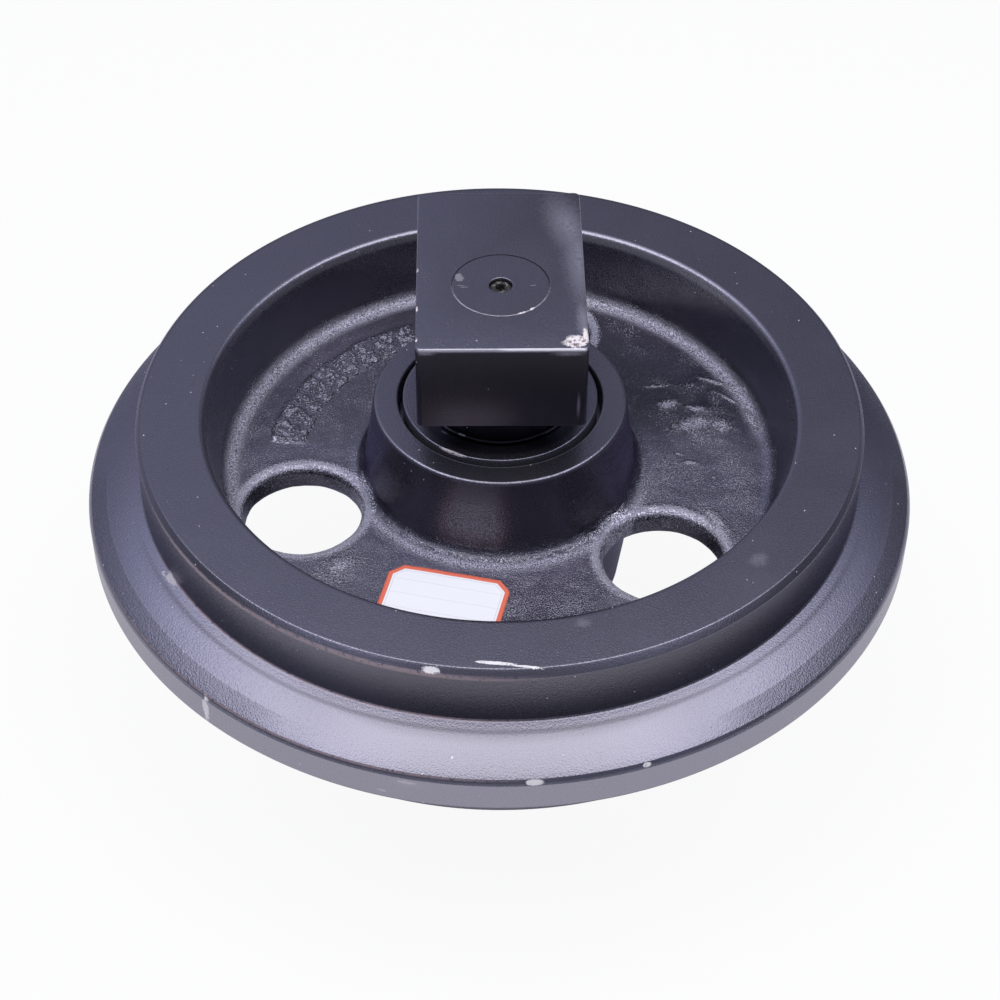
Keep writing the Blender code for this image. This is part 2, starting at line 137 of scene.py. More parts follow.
PLUG_HOLE_RADIUS = 0.0059
PLUG_LEDGE = 0.1212
CENTRE_DRILL_RADIUS = 0.0038
CENTRE_DRILL_DEPTH = 0.0034

# Fineness of the meshes
WHEEL_STEPS = 320
SHAFT_STEPS = 192
HOLE_STEPS = 120
ROD_STEPS = 96
ARC_STEP = radians(15)
HUB_WALL_SPACING = 0.0030
WEB_SPACING = 0.0018
BORE_WALL_SPACING = 0.0030
LOWER_SIDE_COARSENESS = 3.0
CROWN_PARTS = 8
EASING_ROUNDS = 14
SHARP_ANGLE = radians(38)
SUPPORT = 0.0008
MERGE = 0.00001


def math_method(operation, reflected=False):
    """A method that adds one Math node for two values."""
    if reflected:
        return lambda self, other: self.math(operation, other, self)
    return lambda self, other: self.math(operation, self, other)


class Wire:
    """A socket that carries a number. Arithmetic on it adds Math nodes to its tree."""

    def __init__(self, tree, socket):
        self.tree = tree
        self.socket = socket

    def math(self, operation, *values):
        return self.tree.node("ShaderNodeMath", {"operation": operation}, dict(enumerate(values)))

    __add__ = math_method("ADD")
    __radd__ = math_method("ADD", reflected=True)
    __sub__ = math_method("SUBTRACT")
    __rsub__ = math_method("SUBTRACT", reflected=True)
    __mul__ = math_method("MULTIPLY")
    __rmul__ = math_method("MULTIPLY", reflected=True)
    __truediv__ = math_method("DIVIDE")
    __pow__ = math_method("POWER")
    least = math_method("MINIMUM")
    most = math_method("MAXIMUM")

    def __neg__(self):
        return 0 - self

    def __abs__(self):
        return self.math("ABSOLUTE", self)

    def rise(self, low, high):
        """0 below low, 1 above high, and a smooth passage between them."""
        ends = {"Value": self, "From Min": low, "From Max": high}
        return self.tree.node("ShaderNodeMapRange", {"interpolation_type": "SMOOTHSTEP"}, ends)

    def fall(self, low, high):
        """1 below low, 0 above high, and a smooth passage between them."""
        return 1 - self.rise(low, high)

    def near(self, middle, inner, outer):
        """1 within inner of a middle, 0 beyond outer."""
        return abs(self - middle).fall(inner, outer)


def strongest(first, *others):
    """The highest of several masks at each place."""
    for mask in others:
        first = first.most(mask)
    return first


class Tree:
    """Adds nodes to a shader or geometry tree."""

    def __init__(self, tree):
        self.tree = tree

    @staticmethod
    def socket(sockets, key):
        if isinstance(key, int):
            return sockets[key]
        return next(socket for socket in sockets if socket.name == key and socket.enabled)

    def node(self, kind, settings=None, values=None, output=0):
        """Add a node, with its settings first and then the values or links of its sockets."""
        made = self.tree.nodes.new(kind)
        for name, setting in (settings or {}).items():
            setattr(made, name, setting)
        for key, value in (values or {}).items():
            target = self.socket(made.inputs, key)
            if isinstance(value, Wire):
                self.tree.links.new(value.socket, target)
            else:
                target.default_value = value
        return Wire(self, self.socket(made.outputs, output))

    def noise(self, place, scale, detail=2.0, roughness=0.5, seed=0.0):
        values = {"Vector": place, "W": seed, "Scale": scale, "Detail": detail, "Roughness": roughness}
        return self.node("ShaderNodeTexNoise", {"noise_dimensions": "4D"}, values)

    def axes(self, place):
        """The three coordinates of a place."""
        split = self.node("ShaderNodeSeparateXYZ", None, {"Vector": place})
        node = split.socket.node
        return [Wire(self, socket) for socket in node.outputs]

    def length(self, *axes):
        total = sum(axis * axis for axis in axes)
        return total ** 0.5

    def blend(self, factor, first, second):
        """A colour between two colours."""
        values = {"Factor": factor, "A": first, "B": second}
        return self.node("ShaderNodeMix", {"data_type": "RGBA"}, values, "Result")


def linked(name, mesh):
    """A new object in the scene's own collection."""
    made = bpy.data.objects.new(name, mesh)
    bpy.context.scene.collection.objects.link(made)
    return made


def settled(made, name):
    """Turn an object with modifiers into a plain mesh at the origin, and take the old object away."""
    graph = bpy.context.evaluated_depsgraph_get()
    mesh = bpy.data.meshes.new_from_object(made.evaluated_get(graph), depsgraph=graph)
    mesh.transform(made.matrix_world)
    mesh.name = name
    bpy.data.objects.remove(made, do_unlink=True)
    return linked(name, mesh)


# Outlines and turned shapes


def divided(start, end, spacing):
    """Points between two ends, with one close to each end so that shading stays even."""
    run = end - start
    points = []
    if run.length > 4 * SUPPORT:
        shares = [SUPPORT / run.length, 1 - SUPPORT / run.length]
        if spacing:
            count = ceil(run.length / spacing)
            shares += [step / count for step in range(1, count)]
        points = [start + run * share for share in sorted(shares)]
    return points


def outline(*corners):
    """Points through corners (r, z, radius, spacing): radius rounds a corner, spacing cuts the run after it.

    The first and the last corner aren't rounded.
    """
    full = [tuple(corner) + (0.0,) * (4 - len(corner)) for corner in corners]
    arcs = []
    for index, (r, z, radius, spacing) in enumerate(full):
        here = Vector((r, z))
        if not radius:
            arcs.append([here])
            continue
        before = Vector(full[index - 1][:2]) - here
        after = Vector(full[index + 1][:2]) - here
        half = before.angle(after) / 2
        reach = min(radius / tan(half), before.length * 0.48, after.length * 0.48)
        round_radius = reach * tan(half)
        middle = here + (before.normalized() + after.normalized()).normalized() * round_radius / sin(half)
        first = here + before.normalized() * reach - middle
        last = here + after.normalized() * reach - middle
        begin = atan2(first.y, first.x)
        sweep = (atan2(last.y, last.x) - begin + pi) % (2 * pi) - pi
        count = max(2, ceil(abs(sweep) / ARC_STEP))
        angles = [begin + sweep * step / count for step in range(count + 1)]
        arcs.append([middle + round_radius * Vector((cos(angle), sin(angle))) for angle in angles])
    points = []
    for arc, following, corner in zip(arcs, arcs[1:], full):
        points += arc + divided(arc[-1], following[0], corner[3])
    return points + arcs[-1]


def turned(name, points, steps):
    """Turn an outline about Z. It runs clockwise with Z up, and is closed unless it starts on the axis."""
    edges = [(index, index + 1) for index in range(len(points) - 1)]
    if points[0].x > MERGE:
        edges.append((len(points) - 1, 0))
    mesh = bpy.data.meshes.new(name)
    mesh.from_pydata([(point.x, 0.0, point.y) for point in points], edges, [])
    made = linked(name, mesh)
    screw = made.modifiers.new("turn", "SCREW")
    screw.steps = steps
    screw.render_steps = steps
    screw.use_merge_vertices = True
    screw.merge_threshold = MERGE
    screw.use_smooth_shade = True
    return made


def cut(target, tool, operation="DIFFERENCE"):
    """Cut or join a mesh with another one, which is then gone."""
    boolean = target.modifiers.new("cut", "BOOLEAN")
    boolean.operation = operation
    boolean.solver = "EXACT"
    boolean.object = tool
    made = settled(target, target.name)
    bpy.data.objects.remove(tool, do_unlink=True)
    return made


# Wheel


def crowned(start, end, height, count):
    """Points of a slightly crowned run."""
    run = end - start
    out = Vector((-run.y, run.x)).normalized()
    points = []
    for step in range(1, count):
        share = step / count
        points.append(start + run * share + out * height * 4 * share * (1 - share))
    return points


def wheel_half(web, flange_middle, rim_face, coarseness):
    """One side of the wheel's section, from the oil chamber over hub, dish and rim to the guide flange.

    A coarseness above 1 makes its long runs' spacing wider.
    """
    shoulder = Vector((FLANGE_SHOULDER_RADIUS, flange_middle + FLANGE_SHOULDER))
    edge = Vector((FLANGE_EDGE_RADIUS, flange_middle + FLANGE_EDGE))
    flank = crowned(shoulder, edge, FLANGE_CROWN, CROWN_PARTS)
    points = outline(
        (OIL_CHAMBER_RADIUS, OIL_CHAMBER_HALF - OIL_CHAMBER_BEVEL),
        (HUB_BORE_RADIUS, OIL_CHAMBER_HALF),
        (HUB_BORE_RADIUS, BUSH_SEAT),
        (HUB_TUBE_RADIUS, BUSH_SEAT),
        (HUB_TUBE_RADIUS, SEAL_POCKET_FLOOR),
        (SEAL_POCKET_RADIUS, SEAL_POCKET_FLOOR),
        (SEAL_POCKET_MOUTH, COUNTERBORE_FLOOR),
        (COUNTERBORE_RADIUS, COUNTERBORE_FLOOR),
        (COUNTERBORE_RADIUS, HUB_FACE, COUNTERBORE_EDGE),
        (HUB_FACE_RADIUS, HUB_FACE, HUB_EDGE, HUB_WALL_SPACING * coarseness),
        (HUB_BASE_RADIUS, web, HUB_FILLET, WEB_SPACING * coarseness),
        (RIM_BORE_FOOT_RADIUS, web, RECESS_FILLET, BORE_WALL_SPACING * coarseness),
        (RIM_BORE_RADIUS, rim_face, RIM_BORE_EDGE),
        (TREAD_RADIUS - RIM_CHAMFER, rim_face, EASED_EDGE),
        (TREAD_RADIUS, rim_face - RIM_CHAMFER, EASED_EDGE),
        (TREAD_RADIUS, flange_middle + FLANGE_BASE, TREAD_FILLET),
        tuple(shoulder),
        *[tuple(point) for point in flank],
        (*edge, EASED_EDGE),
        (FLANGE_RADIUS, flange_middle + FLANGE_FACE, EASED_EDGE),
        (FLANGE_RADIUS, 0.0),
    )
    return points[:-1]


def wheel_section():
    """The wheel's whole section. Its rim, web and flange lie a little off the hub's middle."""
    upper = wheel_half(WEB_HALF + WEB_MIDDLE, FLANGE_MIDDLE, RIM_FACE, 1.0)
    lower = wheel_half(WEB_HALF - WEB_MIDDLE, -FLANGE_MIDDLE, RIM_LOWER_FACE, LOWER_SIDE_COARSENESS)
    return upper + [Vector((point.x, -point.y)) for point in reversed(lower)]


def smooth_step(value, low, high):
    """0 below low, 1 above high, with a smooth passage."""
    share = max(0.0, min(1.0, (value - low) / (high - low)))
    return share * share * (3 - 2 * share)


def sway_chamfer(mesh):
    """Make the rim's upper chamfer wider at the front and narrow at the back, as it was turned off centre."""
    for vertex in mesh.vertices:
        x, y, z = vertex.co
        radius = (x * x + y * y) ** 0.5
        if z > 0.045 and radius > 0.180:
            growth = -RIM_CHAMFER_SWAY * y / radius - 0.0006
            share = max(0.0, min(1.0, (RIM_FACE - z) / RIM_CHAMFER))
            inward = growth * (1 - share) * smooth_step(radius, 0.1860, 0.1902)
            vertex.co.x -= inward * x / radius
            vertex.co.y -= inward * y / radius
            vertex.co.z -= growth * share * smooth_step(z, 0.0460, 0.0516)


def casting_tree():
    """Geometry nodes that core the web's holes and give the dish its lumpy skin."""
    group = bpy.data.node_groups.new("casting", "GeometryNodeTree")
    sockets = group.interface
    sockets.new_socket("Geometry", in_out="INPUT", socket_type="NodeSocketGeometry")
    sockets.new_socket("Core", in_out="INPUT", socket_type="NodeSocketObject")
    sockets.new_socket("Hole Count", in_out="INPUT", socket_type="NodeSocketInt")
    for name in ("Hole Circle", "First Hole", "Edge Width", "Wave Height", "Lump Height", "Seed"):
        sockets.new_socket(name, in_out="INPUT", socket_type="NodeSocketFloat")
    sockets.new_socket("Paint", in_out="INPUT", socket_type="NodeSocketMaterial")
    sockets.new_socket("Geometry", in_out="OUTPUT", socket_type="NodeSocketGeometry")
    tree = Tree(group)
    entry = group.nodes.new("NodeGroupInput")
    given = {socket.name: Wire(tree, socket) for socket in entry.outputs if socket.name}

    # Cores, one for each hole, on a circle
    circle = {"Vertices": given["Hole Count"], "Radius": given["Hole Circle"]}
    ring = tree.node("GeometryNodeMeshCircle", None, circle)
    turn = tree.node("ShaderNodeCombineXYZ", None, {"Z": given["First Hole"]})
    ring = tree.node("GeometryNodeTransform", None, {"Geometry": ring, "Rotation": turn})
    core = tree.node("GeometryNodeObjectInfo", None, {"Object": given["Core"]}, "Geometry")
    cores = tree.node("GeometryNodeInstanceOnPoints", None, {"Points": ring, "Instance": core})
    cores = tree.node("GeometryNodeRealizeInstances", None, {"Geometry": cores})
    cored = tree.node("GeometryNodeMeshBoolean", {"operation": "DIFFERENCE", "solver": "EXACT"},
                      {0: given["Geometry"], 1: cores})

    # Where a point lies: radius, depth below the rim's face, distance to the nearest hole's edge
    place = tree.node("GeometryNodeInputPosition")
    x, y, z = tree.axes(place)
    radius = tree.length(x, y)
    height = abs(z)
    from_middle = abs(z - WEB_MIDDLE)
    angle = y.math("ARCTAN2", y, x)
    from_edge = from_hole_edge(tree, radius, angle)
    below = (WEB_HALF - from_middle).most(0.0)
    near_edge = from_edge.most(below).fall(0.0, given["Edge Width"])
    soft_edge = tree.node("GeometryNodeBlurAttribute", {"data_type": "FLOAT_VECTOR"},
                          {"Value": place, "Iterations": EASING_ROUNDS, "Weight": near_edge})
    eased = tree.node("GeometryNodeSetPosition", None, {"Geometry": cored, "Position": soft_edge})

    # Lumps of the cast skin, stronger on the web than on the walls
    dish = dish_area(radius, height, 0.003, 0.016)
    web = (from_middle - WEB_HALF).fall(0.002, 0.017)
    seed = given["Seed"]
    wave = tree.noise(place, 70.0, 2.0, 0.5, seed) - 0.5
    ripple = tree.noise(place, 190.0, 2.0, 0.6, seed + 3.0) - 0.5
    skin = (wave * 1.6 + ripple * 0.7) * (0.35 + 0.65 * web) * given["Wave Height"]
    coarse = tree.noise(place, 105.0, 2.0, 0.5, seed + 7.0).rise(0.36, 0.62)
    raised = marks_band(radius, marks_turn(angle), wave + 0.5) * 0.6 + scab_area(radius, angle) * coarse
    lumps = raised * z.rise(0.009, 0.011) * z.fall(0.016, 0.020) * given["Lump Height"]
    normal = tree.node("GeometryNodeInputNormal")
    offset = tree.node("ShaderNodeVectorMath", {"operation": "SCALE"},
                       {"Vector": normal, "Scale": (skin + lumps) * dish})
    rough = tree.node("GeometryNodeSetPosition", None, {"Geometry": eased, "Offset": offset})
    smooth = tree.node("GeometryNodeSetShadeSmooth", None, {"Geometry": rough})
    whole = tree.node("GeometryNodeRealizeInstances", None, {"Geometry": smooth})
    painted = tree.node("GeometryNodeSetMaterial", None, {"Geometry": whole, "Material": given["Paint"]})
    exit_node = group.nodes.new("NodeGroupOutput")
    group.links.new(painted.socket, exit_node.inputs[0])
    return group


def dish_area(radius, height, low, high):
    """The cast dish between hub and rim. It fades in between two depths below the rim's face."""
    return radius.rise(0.060, 0.066) * radius.fall(0.1575, 0.1600) * (RIM_FACE - height).rise(low, high)


def from_hole_edge(tree, radius, angle):
    """Distance to the edge of the nearest hole in the web."""
    spread = 2 * pi / HOLE_COUNT
    pitch = (angle - FIRST_HOLE) / spread
    folded = (pitch - pitch.math("ROUND", pitch)) * spread
    across = radius * folded.math("COSINE", folded) - HOLE_CIRCLE
    along = radius * folded.math("SINE", folded)
    return abs(tree.length(across, along) - HOLE_EDGE_RADIUS)


def marks_turn(angle):
    """How many marks along the worn band a direction lies."""
    return (angle - MARKS_START) / MARKS_STEP


def marks_band(radius, turn, sway):
    """The band of worn cast marks on the web, with uneven edges."""
    within = turn.rise(-0.3, 0.1) * turn.fall(MARKS_COUNT - 0.1, MARKS_COUNT + 0.3)
    return (abs(radius - MARKS_CIRCLE) + (sway - 0.5) * 0.008).fall(0.0085, 0.0110) * within


def cast_strokes(radius, angle, sway, winding):
    """Worn marks that say nothing: the band, cut up by uneven cross grooves and winding ones."""
    turn = marks_turn(angle)
    bent = turn + (sway - 0.5) * 1.6 + (radius - MARKS_CIRCLE) * 25
    across = abs(bent - bent.math("ROUND", bent)).fall(0.06, 0.15)
    grooves = strongest(across, winding.near(0.54, 0.012, 0.040), winding.near(0.44, 0.010, 0.035))
    return marks_band(radius, turn, sway) * (1 - grooves * 0.85)


def scab_area(radius, angle):
    """The wide rough patch on the web, across from the marks."""
    turn = angle / radians(1)
    return radius.near(SCAB_CIRCLE, 0.0100, 0.0190) * turn.rise(2, 11) * turn.fall(28, 37)


def set_inputs(modifier, values):
    """Give a geometry nodes modifier its inputs, by the sockets' identifiers."""
    for item in modifier.node_group.interface.items_tree:
        if item.item_type == "SOCKET" and item.in_out == "INPUT" and item.name in values:
            modifier[item.identifier] = values[item.name]


def hole_core():
    """The core of one web hole: straight in the middle, rounded at both mouths."""
    throat = WEB_HALF - HOLE_EDGE_DROP
    end = WEB_HALF + CORE_OVERLAP
    flare = HOLE_RADIUS + (HOLE_EDGE_DROP + CORE_OVERLAP) / tan(HOLE_MOUTH_SLOPE)
    core = turned("web_hole_core", outline(
        (0.0, end),
        (flare, end),
        (HOLE_RADIUS, throat, HOLE_MOUTH_FILLET, WEB_SPACING),
        (HOLE_RADIUS, -throat, HOLE_MOUTH_FILLET),
        (flare, -end),
        (0.0, -end),
    ), HOLE_STEPS)
    core = settled(core, "web_hole_core")
    core.data.transform(Matrix.Translation((0.0, 0.0, WEB_MIDDLE)))
    return core


def wheel(paint):
    """The cast wheel: turned outline, cored holes and cast skin."""
    core = hole_core()
    made = turned("turned_wheel", wheel_section(), WHEEL_STEPS)
    casting = made.modifiers.new("casting", "NODES")
    casting.node_group = casting_tree()
    set_inputs(casting, {
        "Core": core, "Hole Count": HOLE_COUNT, "Hole Circle": HOLE_CIRCLE, "First Hole": FIRST_HOLE,
        "Edge Width": 0.0030, "Wave Height": 0.0007, "Lump Height": 0.0010, "Seed": 4.0, "Paint": paint,
    })
    made = settled(made, "idler_wheel_casting")
    bpy.data.objects.remove(core, do_unlink=True)
    sway_chamfer(made.data)
    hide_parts("idler_wheel")
    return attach(made, "wheel")


# Brackets and shaft


def rod(name, radius, half_length, place, axis):
    """A plain cylinder along X or Z, for cutting."""
    points = [Vector((0.0, half_length)), Vector((radius, half_length)), Vector((radius, -half_length)),
              Vector((0.0, -half_length))]
    made = settled(turned(name, points, ROD_STEPS), name)
    if axis == "X":
        made.data.transform(Matrix.Rotation(pi / 2, 4, "Y"))
    made.data.transform(Matrix.Translation(place))
    return made


def block():
    """The guide block, with rounded upright corners and eased edges."""
    form = bmesh.new()
    middle = Vector((0.0, (BLOCK_FRONT + BLOCK_BACK) / 2, (BLOCK_TOP + BLOCK_UNDERSIDE) / 2))
    size = Vector((2 * BLOCK_HALF_WIDTH, BLOCK_BACK - BLOCK_FRONT, BLOCK_TOP - BLOCK_UNDERSIDE))
    bmesh.ops.create_cube(form, size=1.0, matrix=Matrix.Translation(middle) @ Matrix.Diagonal(size.to_4d()))
    upright = [edge for edge in form.edges if abs(edge.verts[0].co.z - edge.verts[1].co.z) > MERGE]
    bmesh.ops.bevel(form, geom=upright, offset=BLOCK_CORNER, offset_type="OFFSET", segments=5, profile=0.5,
                    affect="EDGES")
    level = [edge for edge in form.edges if abs(edge.verts[0].co.z - edge.verts[1].co.z) < MERGE]
    bmesh.ops.bevel(form, geom=level, offset=BLOCK_EDGE, offset_type="OFFSET", segments=4, profile=0.5,
                    affect="EDGES")
    mesh = bpy.data.meshes.new("block")
    form.to_mesh(mesh)
    form.free()
    return linked("block", mesh)


def seal_cover():
    """Neck, round seal cover and thrust boss, turned in one piece with the block."""
    points = outline(
        (0.0, BLOCK_UNDERSIDE + NECK_OVERLAP),
        (NECK_RADIUS, BLOCK_UNDERSIDE + NECK_OVERLAP),
        (NECK_RADIUS, COVER_TOP, NECK_FILLET),
        (COVER_RADIUS, COVER_TOP, COVER_EDGE),
        (COVER_RADIUS, COVER_LOW),
        (SEAL_POCKET_MOUTH, COVER_LOW),
        (SEAL_POCKET_RADIUS, POCKET_TOP),
        (BOSS_RADIUS, POCKET_TOP),
        (BOSS_RADIUS, BOSS_LOW),
        (0.0, BOSS_LOW),
    )
    return settled(turned("seal_cover", points, SHAFT_STEPS), "seal_cover")


def painted(made, paint):
    """Give a piece its paint, and smooth shading up to its sharp edges."""
    made.data.materials.clear()
    made.data.materials.append(paint)
    made.data.shade_smooth()
    made.data.set_sharp_from_angle(angle=SHARP_ANGLE)


def bracket(name, node, paint, upside_down):
    """One bracket: block, neck and cover, bored for the shaft and drilled for the lock pin."""
    made = cut(block(), seal_cover(), "UNION")
    made = cut(made, rod("bore", SHAFT_RADIUS + SHAFT_GAP, 0.2, Vector((0.0, 0.0, 0.0)), "Z"))
    made = cut(made, rod("pin_hole", PIN_RADIUS, 0.08, Vector((0.0, PIN_OFFSET, PIN_HEIGHT)), "X"))
    made.name = name
    made.data.name = name
    if upside_down:
        made.data.transform(Matrix.Rotation(pi, 4, "Y"))
    painted(made, paint)
    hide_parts(node)
    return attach(made, "axle_assembly")


def groove(middle):
    """One O-ring groove of the shaft's outline, from top to bottom."""
    top, bottom = middle + GROOVE_HALF, middle - GROOVE_HALF
    return [(SHAFT_RADIUS, top), (GROOVE_RADIUS, top), (GROOVE_RADIUS, bottom), (SHAFT_RADIUS, bottom)]


def shaft(paint):
    """The fixed shaft, with its oil hole, grooves and pin notches."""
    made = turned("turned_shaft", outline(
        (0.0, OIL_HOLE_END - 0.002),
        (OIL_HOLE_RADIUS, OIL_HOLE_END),
        (OIL_HOLE_RADIUS, PLUG_LEDGE),
        (PLUG_HOLE_RADIUS, PLUG_LEDGE),
        (PLUG_HOLE_RADIUS, SHAFT_END, SHAFT_EDGE),
        (SHAFT_RADIUS, SHAFT_END, SHAFT_EDGE),
        *groove(GROOVE_HEIGHT),
        *groove(-GROOVE_HEIGHT),
        (SHAFT_RADIUS, -SHAFT_END, SHAFT_EDGE),
        (CENTRE_DRILL_RADIUS, -SHAFT_END),
        (0.0, CENTRE_DRILL_DEPTH - SHAFT_END),
    ), SHAFT_STEPS)
    made = settled(made, "idler_shaft_turned")
    for side in (1, -1):
        notch = rod("notch", PIN_RADIUS, 0.05, Vector((0.0, PIN_OFFSET, side * PIN_HEIGHT)), "X")
        made = cut(made, notch)
    painted(made, paint)
    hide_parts("idler_shaft")
    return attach(made, "axle_assembly")


# Label


LABEL_MIDDLE_TOP = Vector((-0.0257, -0.0852))
LABEL_TURN = radians(-13.7)
LABEL_WIDTH = 0.0643
LABEL_HEIGHT = 0.040
LABEL_CORNER = 0.0067
LABEL_LIFT = 0.00025
LABEL_THICKNESS = 0.00012
LABEL_COLUMNS = 48
LABEL_ROWS = 30
LABEL_EASING_ROUNDS = 6
ABOVE_WEB = 0.030


def label(paper, wheel_piece):
    """A blank paper label stuck on the web, its corners cut off."""
    graph = bpy.context.evaluated_depsgraph_get()
    skin = BVHTree.FromObject(wheel_piece, graph)
    across = Vector((cos(LABEL_TURN), sin(LABEL_TURN)))
    down = Vector((across.y, -across.x))
    form = bmesh.new()
    uv_layer = form.loops.layers.uv.new("label")
    rows = []
    for row in range(LABEL_ROWS + 1):
        v = row / LABEL_ROWS
        line = []
        for column in range(LABEL_COLUMNS + 1):
            u = column / LABEL_COLUMNS
            x = (u - 0.5) * LABEL_WIDTH
            y = v * LABEL_HEIGHT
            edge = min(y, LABEL_HEIGHT - y)
            inset = max(0.0, LABEL_CORNER - edge)
            x = max(-LABEL_WIDTH / 2 + inset, min(LABEL_WIDTH / 2 - inset, x))
            flat = LABEL_MIDDLE_TOP + across * x + down * y
            hit = skin.ray_cast(Vector((flat.x, flat.y, ABOVE_WEB)), Vector((0.0, 0.0, -1.0)))[0]
            line.append((form.verts.new((flat.x, flat.y, hit.z + LABEL_LIFT)), (x / LABEL_WIDTH + 0.5, v)))
        rows.append(line)
    for upper, lower in zip(rows, rows[1:]):
        for left, right, under_right, under_left in zip(upper, upper[1:], lower[1:], lower):
            face = form.faces.new([under_left[0], under_right[0], right[0], left[0]])
            for loop, (vertex, uv) in zip(face.loops, (under_left, under_right, right, left)):
                loop[uv_layer].uv = uv
            face.smooth = True
    bmesh.ops.recalc_face_normals(form, faces=form.faces[:])
    for _ in range(LABEL_EASING_ROUNDS):
        bmesh.ops.smooth_vert(form, verts=form.verts[:], factor=0.5, use_axis_z=True, use_axis_x=False,
                              use_axis_y=False)
    mesh = bpy.data.meshes.new("paper_label")
    form.to_mesh(mesh)
    form.free()
    made = linked("paper_label", mesh)
    sheet = made.modifiers.new("thickness", "SOLIDIFY")
    sheet.thickness = LABEL_THICKNESS
    sheet.offset = 1.0
    made = settled(made, "paper_label")
    made.data.materials.clear()
    made.data.materials.append(paper)
    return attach(made, "wheel")


# Finishes


class Finish(Tree):
    """One material: a Principled shader and the nodes behind it."""

    def __init__(self, name, **fixed):
        self.material = bpy.data.materials.new(name)
        self.material.use_nodes = True
        super().__init__(self.material.node_tree)
        self.shader = self.tree.nodes["Principled BSDF"]
        for key, value in fixed.items():
            self.shader.inputs[key.replace("_", " ")].default_value = value
        self.place = self.node("ShaderNodeTexCoord", None, None, "Object")
        self.fray = self.noise(self.place, 450.0, 3.0, 0.65, 11.0)

    def feed(self, key, value):
        if isinstance(value, Wire):
            self.tree.links.new(value.socket, self.shader.inputs[key])
        else:
            self.shader.inputs[key].default_value = value

    def spot(self, middle, half, turn=0.0, ragged=0.9, solid=0.75):
        """1 inside a ragged patch, 0 outside. Its middle and half sizes are in millimetres, its turn in degrees.

        The patch is solid up to the given share of its size, and fades from there.
        """
        lie = {"Vector": self.place, "Location": Vector(middle) / 1000, "Rotation": (0.0, 0.0, radians(turn)),
               "Scale": Vector(half) / 1000}
        away = self.node("ShaderNodeMapping", {"vector_type": "TEXTURE"}, lie)
        distance = self.node("ShaderNodeVectorMath", {"operation": "LENGTH"}, {0: away}, "Value")
        return (distance + (self.fray - 0.5) * ragged).fall(solid, 1.0)

    def spots(self, rows):
        """Several spots at once."""
        return strongest(*(self.spot(*row) for row in rows))

    def bump(self, height, distance, normal=None):
        values = {"Height": height, "Distance": distance, "Strength": 1.0}
        if normal is not None:
            values["Normal"] = normal
        return self.node("ShaderNodeBump", None, values)


PAINT = {"IOR": 2.5, "Specular_IOR_Level": 0.75, "Specular_Tint": (0.86, 0.82, 1.0, 1.0)}
PAINT_BLACK = (0.010, 0.0095, 0.0130, 1.0)
PAINT_DUSTY = (0.045, 0.043, 0.056, 1.0)
# Duller paint for a random mottle, and the painted shade of the wheel's upright faces, chamfer and front flank
PAINT_DULL_AND_SHADE = (0.120, 0.115, 0.140, 1.0)
# Painted sheen on the flange's outer face
OUTER_FACE_PAINTED_SHEEN = (0.150, 0.143, 0.165, 1.0)
# Painted shade on the blocks' upright faces
BLOCK_PAINTED_SHADE = (0.052, 0.048, 0.058, 1.0)
BLOCK_BROWN = (0.13, 0.105, 0.085, 1.0)
# Painted shade on the web's back half
WEB_PAINTED_SHADE = (0.045, 0.043, 0.052, 1.0)
# Painted glints and highlights
PAINTED_GLINT = (0.45, 0.44, 0.51, 1.0)
DUST = (0.75, 0.74, 0.76, 1.0)
GAP_DUST = (0.11, 0.105, 0.125, 1.0)
# Painted shade under the block and on the neck
PAINTED_UNDER_BLOCK_SHADE = (0.030, 0.030, 0.036, 1.0)
RUBBED = (0.44, 0.42, 0.50, 1.0)
BARE_METAL = (0.42, 0.40, 0.40, 1.0)
PRIMER = (0.60, 0.54, 0.50, 1.0)
# Rust, also the colour of a painted brownish highlight
RUST_AND_HIGHLIGHT = (0.34, 0.22, 0.19, 1.0)
WHEEL_CHIP = ((0.20, 0.17, 0.15, 1.0), (0.90, 0.86, 0.80, 1.0))
BLOCK_CHIP = ((0.22, 0.17, 0.15, 1.0), (0.92, 0.82, 0.77, 1.0))
PIN_STEEL = ((0.16, 0.15, 0.14, 1.0), (0.34, 0.33, 0.32, 1.0))
BRONZE = ((0.34, 0.20, 0.09, 1.0), (0.58, 0.36, 0.16, 1.0))
LAPPED_IRON = ((0.24, 0.24, 0.25, 1.0), (0.40, 0.40, 0.41, 1.0))
RUBBER = ((0.012, 0.012, 0.012, 1.0), (0.030, 0.029, 0.028, 1.0))
OILY_DIRT = ((0.018, 0.017, 0.018, 1.0), (0.23, 0.21, 0.19, 1.0))
PAPER_WHITE = (0.90, 0.90, 0.92, 1.0)
PAPER_BORDER = (0.80, 0.17, 0.10, 1.0)
PAPER_INK = (0.25, 0.25, 0.28, 1.0)
ORANGE_PEEL = 0.00016


# Worn places on the wheel: middle, half sizes, turn, raggedness and the share that is solid
WHEEL_CHIPS = [
    ((-35.5, -188.6, 53.4), (5.4, 2.0, 2.6), -10.5, 1.2),
    ((-147.4, -165.6, 1.0), (2.6, 2.6, 10.5), -41.8, 2.2),
    ((-5.0, -185.8, 54.4), (11.0, 1.2, 1.2), -6.0, 1.3),
    ((10.0, -188.2, 54.2), (8.0, 0.8, 1.2), -7.0, 1.3),
    ((13.6, -221.3, 8.9), (5.2, 1.6, 2.0), 3.6, 0.8),
    ((68.0, -210.8, 8.9), (2.4, 1.2, 1.4), 18.0, 1.2),
    ((-25.7, -210.0, 14.6), (0.8, 0.9, 1.5), 0.0, 0.4),
]
WHEEL_PRIMER = [
    ((-47.8, -217.2, 4.6), (5.0, 1.8, 1.2), -12.4, 1.2),
    ((-60.0, -214.2, -4.6), (2.6, 1.6, 1.0), -15.7, 1.2),
    ((-169.5, -94.9, 20.4), (2.6, 6.0, 2.0), 30.0, 4.6),
]
